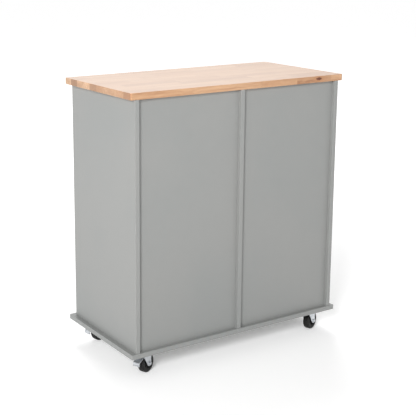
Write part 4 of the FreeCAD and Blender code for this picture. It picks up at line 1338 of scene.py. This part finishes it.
@dataclass
class Caster:
    """One swivel caster: fork, axle, wheel and, on some, a toe brake.

    Pieces are made about the kingpin at the base board's underside, with the wheel trailing
    towards -X, and then turned to the way that the caster stands.
    """

    finishes: Finishes
    corner: str
    sheet: float = 0.0025
    crown_top: float = 0.0075
    leg_gap: float = 0.0284
    front: float = 0.0210
    rear: float = 0.0250
    tip_radius: float = 0.0085
    fork_bend: float = 0.003
    fork_edge: float = 0.0004
    trail: float = 0.0170
    wheel_radius: float = 0.03175
    wheel_width: float = 0.0234
    tyre_bore: float = 0.0215
    tyre_shoulder: float = 0.0042
    tyre_groove: float = 0.0007
    tyre_line: float = 0.0002
    hub_half: float = 0.0100
    spokes: int = 6
    spoke_edge: float = 0.0004
    axle_radius: float = 0.0030
    nut_edge: float = 0.0003
    nut_seat: float = 0.0004
    brake_pivot: tuple[float, float] = (0.00803, -0.0185)
    brake_arm: float = 0.022
    brake_fall: float = 0.010
    curl: float = 0.009
    curl_step: float = 17.5
    brake_half: float = 0.0120
    brake_sheet: float = 0.0024
    brake_edge: float = 0.0005
    pedal_corner: float = 0.0035
    rib_offset: float = 0.0065
    rib_half: float = 0.0011
    rib_edge: float = 0.0006
    pin_proud: float = 0.0015
    shoe_half: float = 0.0012
    shoe_height: float = 0.0066
    shoe_lift: float = 0.00195
    shoe_degrees: float = 45.85

    def __post_init__(self) -> None:
        """Work out where the caster stands and how it is turned."""
        pin = Vector(joint(f"caster_{self.corner}_swivel")["pos_m"])
        axle = Vector(joint(f"caster_{self.corner}_roll")["pos_m"])
        ahead = pin - axle
        yaw = math.atan2(ahead.y, ahead.x)
        self.underside = float(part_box("base_board")[0][2])
        self.axle_z = axle.z - self.underside
        self.place = Matrix.Translation((pin.x, pin.y, self.underside)) @ Matrix.Rotation(yaw, 4, "Z")

    def build(self) -> None:
        """Model every piece of the caster."""
        self.fork()
        self.axle()
        self.tyre()
        self.hub()
        if self.corner in BRAKED:
            self.brake()

    def settle(self, piece: bpy.types.Object, node: str, slot: str) -> None:
        """Stand a piece in its corner in place of its solid.

        Args:
            piece: the piece.
            node: the solid.
            slot: the record's slot that it takes its finish from.
        """
        Shaping.moved(piece, self.place)
        self.finishes.stand_in(piece, [node], slot)

    def fork(self) -> None:
        """Press the yoke from one sheet: crown, two bent legs with round tips, a raised race."""
        half = (self.leg_gap + self.sheet) / 2
        level = -self.crown_top - self.sheet / 2
        width = self.front + self.rear
        centre = (self.front - self.rear) / 2
        Shaping.drop_selection()
        bpy.ops.mesh.primitive_plane_add(size=1.0)
        piece = Shaping.named("fork")
        piece.scale = (width, 2 * half, 1.0)
        piece.location = (centre, 0.0, level)
        Shaping.settle(piece)
        bpy.ops.object.mode_set(mode="EDIT")
        drop = self.axle_z - level
        foot = drop - self.tip_radius
        low = level + foot
        ratio = 2 * self.tip_radius / width
        for side in (-1, 1):
            Shaping.pick("EDGE", lambda e: all(v.co.y * side > half - NEAR and v.co.z > level - NEAR
                                               for v in e.verts))
            Shaping.pull((0.0, 0.0, foot))
            bpy.ops.transform.resize(value=(ratio, 1.0, 1.0))
            bpy.ops.transform.translate(value=(-self.trail - centre, 0.0, 0.0))
            Shaping.pick("VERT", lambda v: v.co.y * side > half - NEAR and v.co.z < low + NEAR)
            bpy.ops.mesh.bevel(offset=self.tip_radius * 0.98, segments=8, affect="VERTICES")
        Shaping.pick("EDGE", lambda e: all(abs(abs(v.co.y) - half) < NEAR and v.co.z > level - NEAR
                                           for v in e.verts))
        bpy.ops.mesh.bevel(offset=self.fork_bend, segments=4, affect="EDGES")
        bpy.ops.mesh.select_all(action="SELECT")
        bpy.ops.mesh.normals_make_consistent(inside=False)
        bpy.ops.object.mode_set(mode="OBJECT")
        Shaping.thicken(piece, self.sheet)
        Shaping.ease(piece, self.fork_edge, 2, 50.0)
        crown = level + self.sheet / 2
        dish = Shaping.turned("race", [(0.0236, level - self.sheet / 2), (0.0240, level + self.sheet * 0.2),
                                       (0.0232, crown), (0.0190, crown + 0.0002),
                                       (0.0176, crown - 0.0004), (0.0060, crown - 0.0004)])
        yoke = Shaping.joined([piece, dish], f"fork_{self.corner}_pressed")
        Shaping.smooth(yoke, 38.0)
        self.settle(yoke, f"fork_{self.corner}", "zinc")

    def axle(self) -> None:
        """A bolt with a chamfered hexagon head, its shank, and a locking nut."""
        reach = self.leg_gap / 2 + self.sheet
        shank = Shaping.turned("shank", [(self.axle_radius, -reach), (self.axle_radius, reach + 0.0042),
                                         (self.axle_radius * 0.75, reach + 0.0050)], 28)
        parts = [shank]
        for side in (-1, 1):
            head = Shaping.turned("hexagon", [(0.0055, 0.0), (0.0055, 0.0030), (0.0047, 0.0036),
                                              (0.0030, 0.0037)], 6)
            Shaping.ease(head, self.nut_edge)
            washer = Shaping.turned("washer", [(0.0060, 0.0), (0.0060, 0.0006), (0.0056, 0.0008)], 28)
            turn = Axis.REAR if side > 0 else Axis.FRONT
            Shaping.moved(head, point_along(turn, (0.0, side * (reach + self.nut_seat), 0.0)))
            Shaping.moved(washer, point_along(turn, (0.0, side * reach, 0.0)))
            parts += [head, washer]
        Shaping.moved(shank, point_along(Axis.REAR, (0.0, 0.0, 0.0)))
        bolt = Shaping.joined(parts, f"axle_{self.corner}_bolt")
        Shaping.smooth(bolt, 30.0)
        Shaping.moved(bolt, Matrix.Translation((-self.trail, 0.0, self.axle_z)))
        self.settle(bolt, f"axle_{self.corner}", "zinc")

    def tyre(self) -> None:
        """A moulded tread with round shoulders, two grooves and a parting line."""
        half, outer, bore = self.wheel_width / 2, self.wheel_radius, self.tyre_bore
        shoulder, groove = self.tyre_shoulder, self.tyre_groove
        side = [(bore, -half + 0.0008), (bore + 0.0008, -half), (outer - shoulder, -half)]
        for step in range(1, 7):
            angle = math.radians(15 * step)
            side.append((outer - shoulder * (1 - math.sin(angle)),
                         -half + shoulder * (1 - math.cos(angle))))
        tread = [(outer, -0.0052), (outer - groove, -0.0048), (outer - groove, -0.0040), (outer, -0.0036),
                 (outer, -0.0004), (outer - self.tyre_line, 0.0)]
        section = side + tread
        section += [(radius, -height) for radius, height in reversed(section[:-1])]
        ring = Shaping.ring("tread", section)
        Shaping.smooth(ring, 30.0)
        Shaping.moved(ring, point_along(Axis.REAR, (-self.trail, 0.0, self.axle_z)))
        ring.name = f"tyre_{self.corner}_tread"
        self.settle(ring, f"tyre_{self.corner}", "wheel_rubber")

    def hub(self) -> None:
        """A moulded hub: rim, dished web with spokes, boss and bearing cap."""
        half = self.hub_half
        face = [(self.tyre_bore, half), (0.0190, half), (0.0182, half - 0.0008), (0.0175, 0.0046),
                (0.0080, 0.0050), (0.0075, 0.0128), (0.0072, 0.0135), (0.0046, 0.0137)]
        profile = [(radius, -height) for radius, height in reversed(face)] + face
        disc = Shaping.turned("disc", profile, 56)
        Shaping.moved(disc, point_along(Axis.REAR, (0.0, 0.0, 0.0)))
        parts = [disc]
        for index in range(self.spokes):
            spoke = Shaping.block("spoke", (0.0070, -0.0082, -0.0011), (0.0184, 0.0082, 0.0011))
            Shaping.ease(spoke, self.spoke_edge)
            parts.append(Shaping.moved(spoke, Matrix.Rotation(index * math.tau / self.spokes, 4, "Y")))
        hub = Shaping.joined(parts, f"hub_{self.corner}_moulded")
        Shaping.smooth(hub, 35.0)
        Shaping.moved(hub, Matrix.Translation((-self.trail, 0.0, self.axle_z)))
        self.settle(hub, f"hub_{self.corner}", "wheel_plastic")

    def brake(self) -> None:
        """A pressed toe lever: arm from the pin, a pedal curled at its end, two stiffening ribs."""
        pivot_x, pivot_z = self.brake_pivot
        bend_x, bend_z = pivot_x + self.brake_arm, pivot_z - self.brake_fall
        path = [(pivot_x - 0.001, pivot_z + 0.0005), (bend_x - 0.004, bend_z + 0.0018), (bend_x, bend_z)]
        for step in range(1, 9):
            angle = math.radians(90 - self.curl_step * step)
            path.append((bend_x + self.curl * math.cos(angle),
                         bend_z - self.curl + self.curl * math.sin(angle)))
        Shaping.drop_selection()
        bpy.ops.mesh.primitive_plane_add(size=1.0)
        piece = Shaping.named("lever")
        (x0, z0), (x1, z1) = path[:2]
        piece.scale = (x1 - x0, 2 * self.brake_half, 1.0)
        piece.location = ((x0 + x1) / 2, 0.0, z0)
        Shaping.settle(piece)
        bpy.ops.object.mode_set(mode="EDIT")
        Shaping.pick("VERT", lambda v: v.co.x > x1 - NEAR)
        bpy.ops.transform.translate(value=(0.0, 0.0, z1 - z0))
        Shaping.pick("EDGE", lambda e: all(v.co.x > x1 - NEAR for v in e.verts))
        for (ax, az), (bx, bz) in zip(path[1:], path[2:]):
            Shaping.pull((bx - ax, 0.0, bz - az))
        Shaping.pick("VERT", lambda v: (v.is_boundary and len(v.link_edges) == 2
                                        and v.co.z < bend_z - 0.004))
        bpy.ops.mesh.bevel(offset=self.pedal_corner, segments=4, affect="VERTICES")
        bpy.ops.mesh.select_all(action="SELECT")
        bpy.ops.mesh.normals_make_consistent(inside=False)
        bpy.ops.object.mode_set(mode="OBJECT")
        Shaping.thicken(piece, self.brake_sheet)
        Shaping.ease(piece, self.brake_edge, 3, 50.0)
        parts = [piece]
        for offset in (-self.rib_offset, self.rib_offset):
            rib = Shaping.board("rib", (pivot_x + 0.004, offset - self.rib_half, -0.0009),
                                (bend_x - 0.002, offset + self.rib_half, 0.0020), self.rib_edge)
            pitch = math.atan2(path[2][1] - path[0][1], path[2][0] - path[0][0])
            onto = Matrix.Translation((pivot_x, 0.0, pivot_z)) @ Matrix.Rotation(-pitch, 4, "Y")
            parts.append(Shaping.moved(rib, onto @ Matrix.Translation((-pivot_x, 0.0, 0.0))))
        eye = Shaping.turned("eye", [(0.0034, -self.brake_half), (0.0040, -self.brake_half + 0.0006),
                                     (0.0040, self.brake_half - 0.0006), (0.0034, self.brake_half)], 32)
        pin_reach = self.leg_gap / 2 + self.sheet + self.pin_proud
        pin = Shaping.turned("pin", [(0.0012, -pin_reach), (0.0020, -pin_reach + 0.0006),
                                     (0.0020, pin_reach - 0.0006), (0.0012, pin_reach)], 24)
        for part in (eye, pin):
            parts.append(Shaping.moved(part, point_along(Axis.REAR, (pivot_x, 0.0, pivot_z))))
        reach, angle = self.wheel_radius + self.shoe_lift, math.radians(self.shoe_degrees)
        shoe_x = -self.trail + reach * math.cos(angle)
        shoe_z = self.axle_z + reach * math.sin(angle)
        shoe = Shaping.board("shoe", (-self.shoe_half, -self.brake_half, -self.shoe_height),
                             (self.shoe_half, self.brake_half, 0.0), self.brake_edge)
        tilt = math.atan2(pivot_x - shoe_x, pivot_z - shoe_z)
        hung = Matrix.Translation((pivot_x, 0.0, pivot_z)) @ Matrix.Rotation(tilt, 4, "Y")
        parts.append(Shaping.moved(shoe, hung))
        lever = Shaping.joined(parts, f"brake_lever_{self.corner}_pressed")
        Shaping.smooth(lever, 40.0)
        self.settle(lever, f"brake_lever_{self.corner}", "zinc")


# ---------------------------------------------------------------- studio


@dataclass
class Studio:
    """Floor, soft light and camera."""

    azimuth: float = 147.66
    elevation: float = 12.30
    distance: float = 3.299
    aim: tuple[float, float, float] = (0.191, -0.001, 0.673)
    lens: float = 85.07
    shift: tuple[float, float] = (0.12, -0.12)
    sky: float = 0.40
    backdrop: float = 1.06
    key_azimuth: float = 131.0
    key_elevation: float = 23.0
    light_distance: float = 6.5
    key_size: float = 1.5
    key_power: float = 385.0
    fill_azimuth: float = 336.0
    fill_elevation: float = 52.0
    fill_size: float = 3.4
    fill_power: float = 210.0
    lit_height: float = 0.5
    floor_side: float = 40.0
    sight: float = 60.0

    @staticmethod
    def towards(azimuth: float, elevation: float) -> Vector:
        """The direction from the cart to a thing at an azimuth and elevation in degrees."""
        turn, lift = math.radians(azimuth), math.radians(elevation)
        return Vector((math.sin(turn) * math.cos(lift), -math.cos(turn) * math.cos(lift), math.sin(lift)))

    def camera(self) -> None:
        """Set up the camera at the rear three-quarter view."""
        data = bpy.data.cameras.new("camera")
        data.lens = self.lens
        data.sensor_width = 36.0
        data.shift_x, data.shift_y = self.shift
        data.clip_end = self.sight
        camera = bpy.data.objects.new("camera", data)
        bpy.context.scene.collection.objects.link(camera)
        back = self.towards(self.azimuth, self.elevation)
        camera.location = Vector(self.aim) + back * self.distance
        camera.rotation_mode = "QUATERNION"
        camera.rotation_quaternion = (-back).to_track_quat("-Z", "Y")
        bpy.context.scene.camera = camera

    def floor(self) -> None:
        """Lay the floor."""
        Shaping.drop_selection()
        bpy.ops.mesh.primitive_plane_add(size=self.floor_side)
        floor = Shaping.named("studio_floor")
        floor.data.materials.append(StudioFloor().make())

    def softbox(self, name: str, azimuth: float, elevation: float, size: float, power: float) -> None:
        """Stand one square area light that points at the middle of the cart.

        Args:
            name: its name.
            azimuth: where it stands, in degrees.
            elevation: how high it stands, in degrees.
            size: its side.
            power: watts.
        """
        data = bpy.data.lights.new(name, "AREA")
        data.shape = "SQUARE"
        data.size = size
        data.energy = power
        light = bpy.data.objects.new(name, data)
        bpy.context.scene.collection.objects.link(light)
        direction = self.towards(azimuth, elevation)
        light.location = Vector((0.0, 0.0, self.lit_height)) + direction * self.light_distance
        light.rotation_mode = "QUATERNION"
        light.rotation_quaternion = (-direction).to_track_quat("-Z", "Y")

    def sky_light(self) -> None:
        """Even white light from all round, brighter where it is seen or mirrored."""
        world = bpy.data.worlds.new("studio")
        bpy.context.scene.world = world
        world.use_nodes = True
        tree = world.node_tree
        path = tree.nodes.new("ShaderNodeLightPath")
        level = tree.nodes.new("ShaderNodeMix")
        level.inputs[2].default_value = self.sky
        level.inputs[3].default_value = self.backdrop
        seen = tree.nodes.new("ShaderNodeMath")
        tree.links.new(path.outputs["Is Camera Ray"], seen.inputs[0])
        tree.links.new(path.outputs["Is Glossy Ray"], seen.inputs[1])
        tree.links.new(seen.outputs[0], level.inputs[0])
        background = tree.nodes["Background"]
        background.inputs["Color"].default_value = (1.0, 1.0, 1.0, 1.0)
        tree.links.new(level.outputs[0], background.inputs["Strength"])

    def build(self) -> None:
        """Set up floor, sky, lights and camera."""
        self.floor()
        self.sky_light()
        self.softbox("key", self.key_azimuth, self.key_elevation, self.key_size, self.key_power)
        self.softbox("front_fill", self.fill_azimuth, self.fill_elevation, self.fill_size, self.fill_power)
        bpy.context.scene.view_settings.view_transform = "Standard"
        self.camera()


def main() -> None:
    """Build the cart's looks, piece by piece."""
    logging.basicConfig(level=logging.INFO, format="%(message)s")
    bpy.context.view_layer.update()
    finishes = Finishes()
    finishes.dress_nodes()
    Carcass(finishes).build()
    for side in SIDES:
        Drawer(finishes, side).build()
        Door(finishes, side).build()
    FixedHinges(finishes).build()
    Fasteners(finishes).build()
    for corner in CORNERS:
        Caster(finishes, corner).build()
    ScrewMaker.clear()
    Studio().build()


if __name__ == "__main__":
    main()
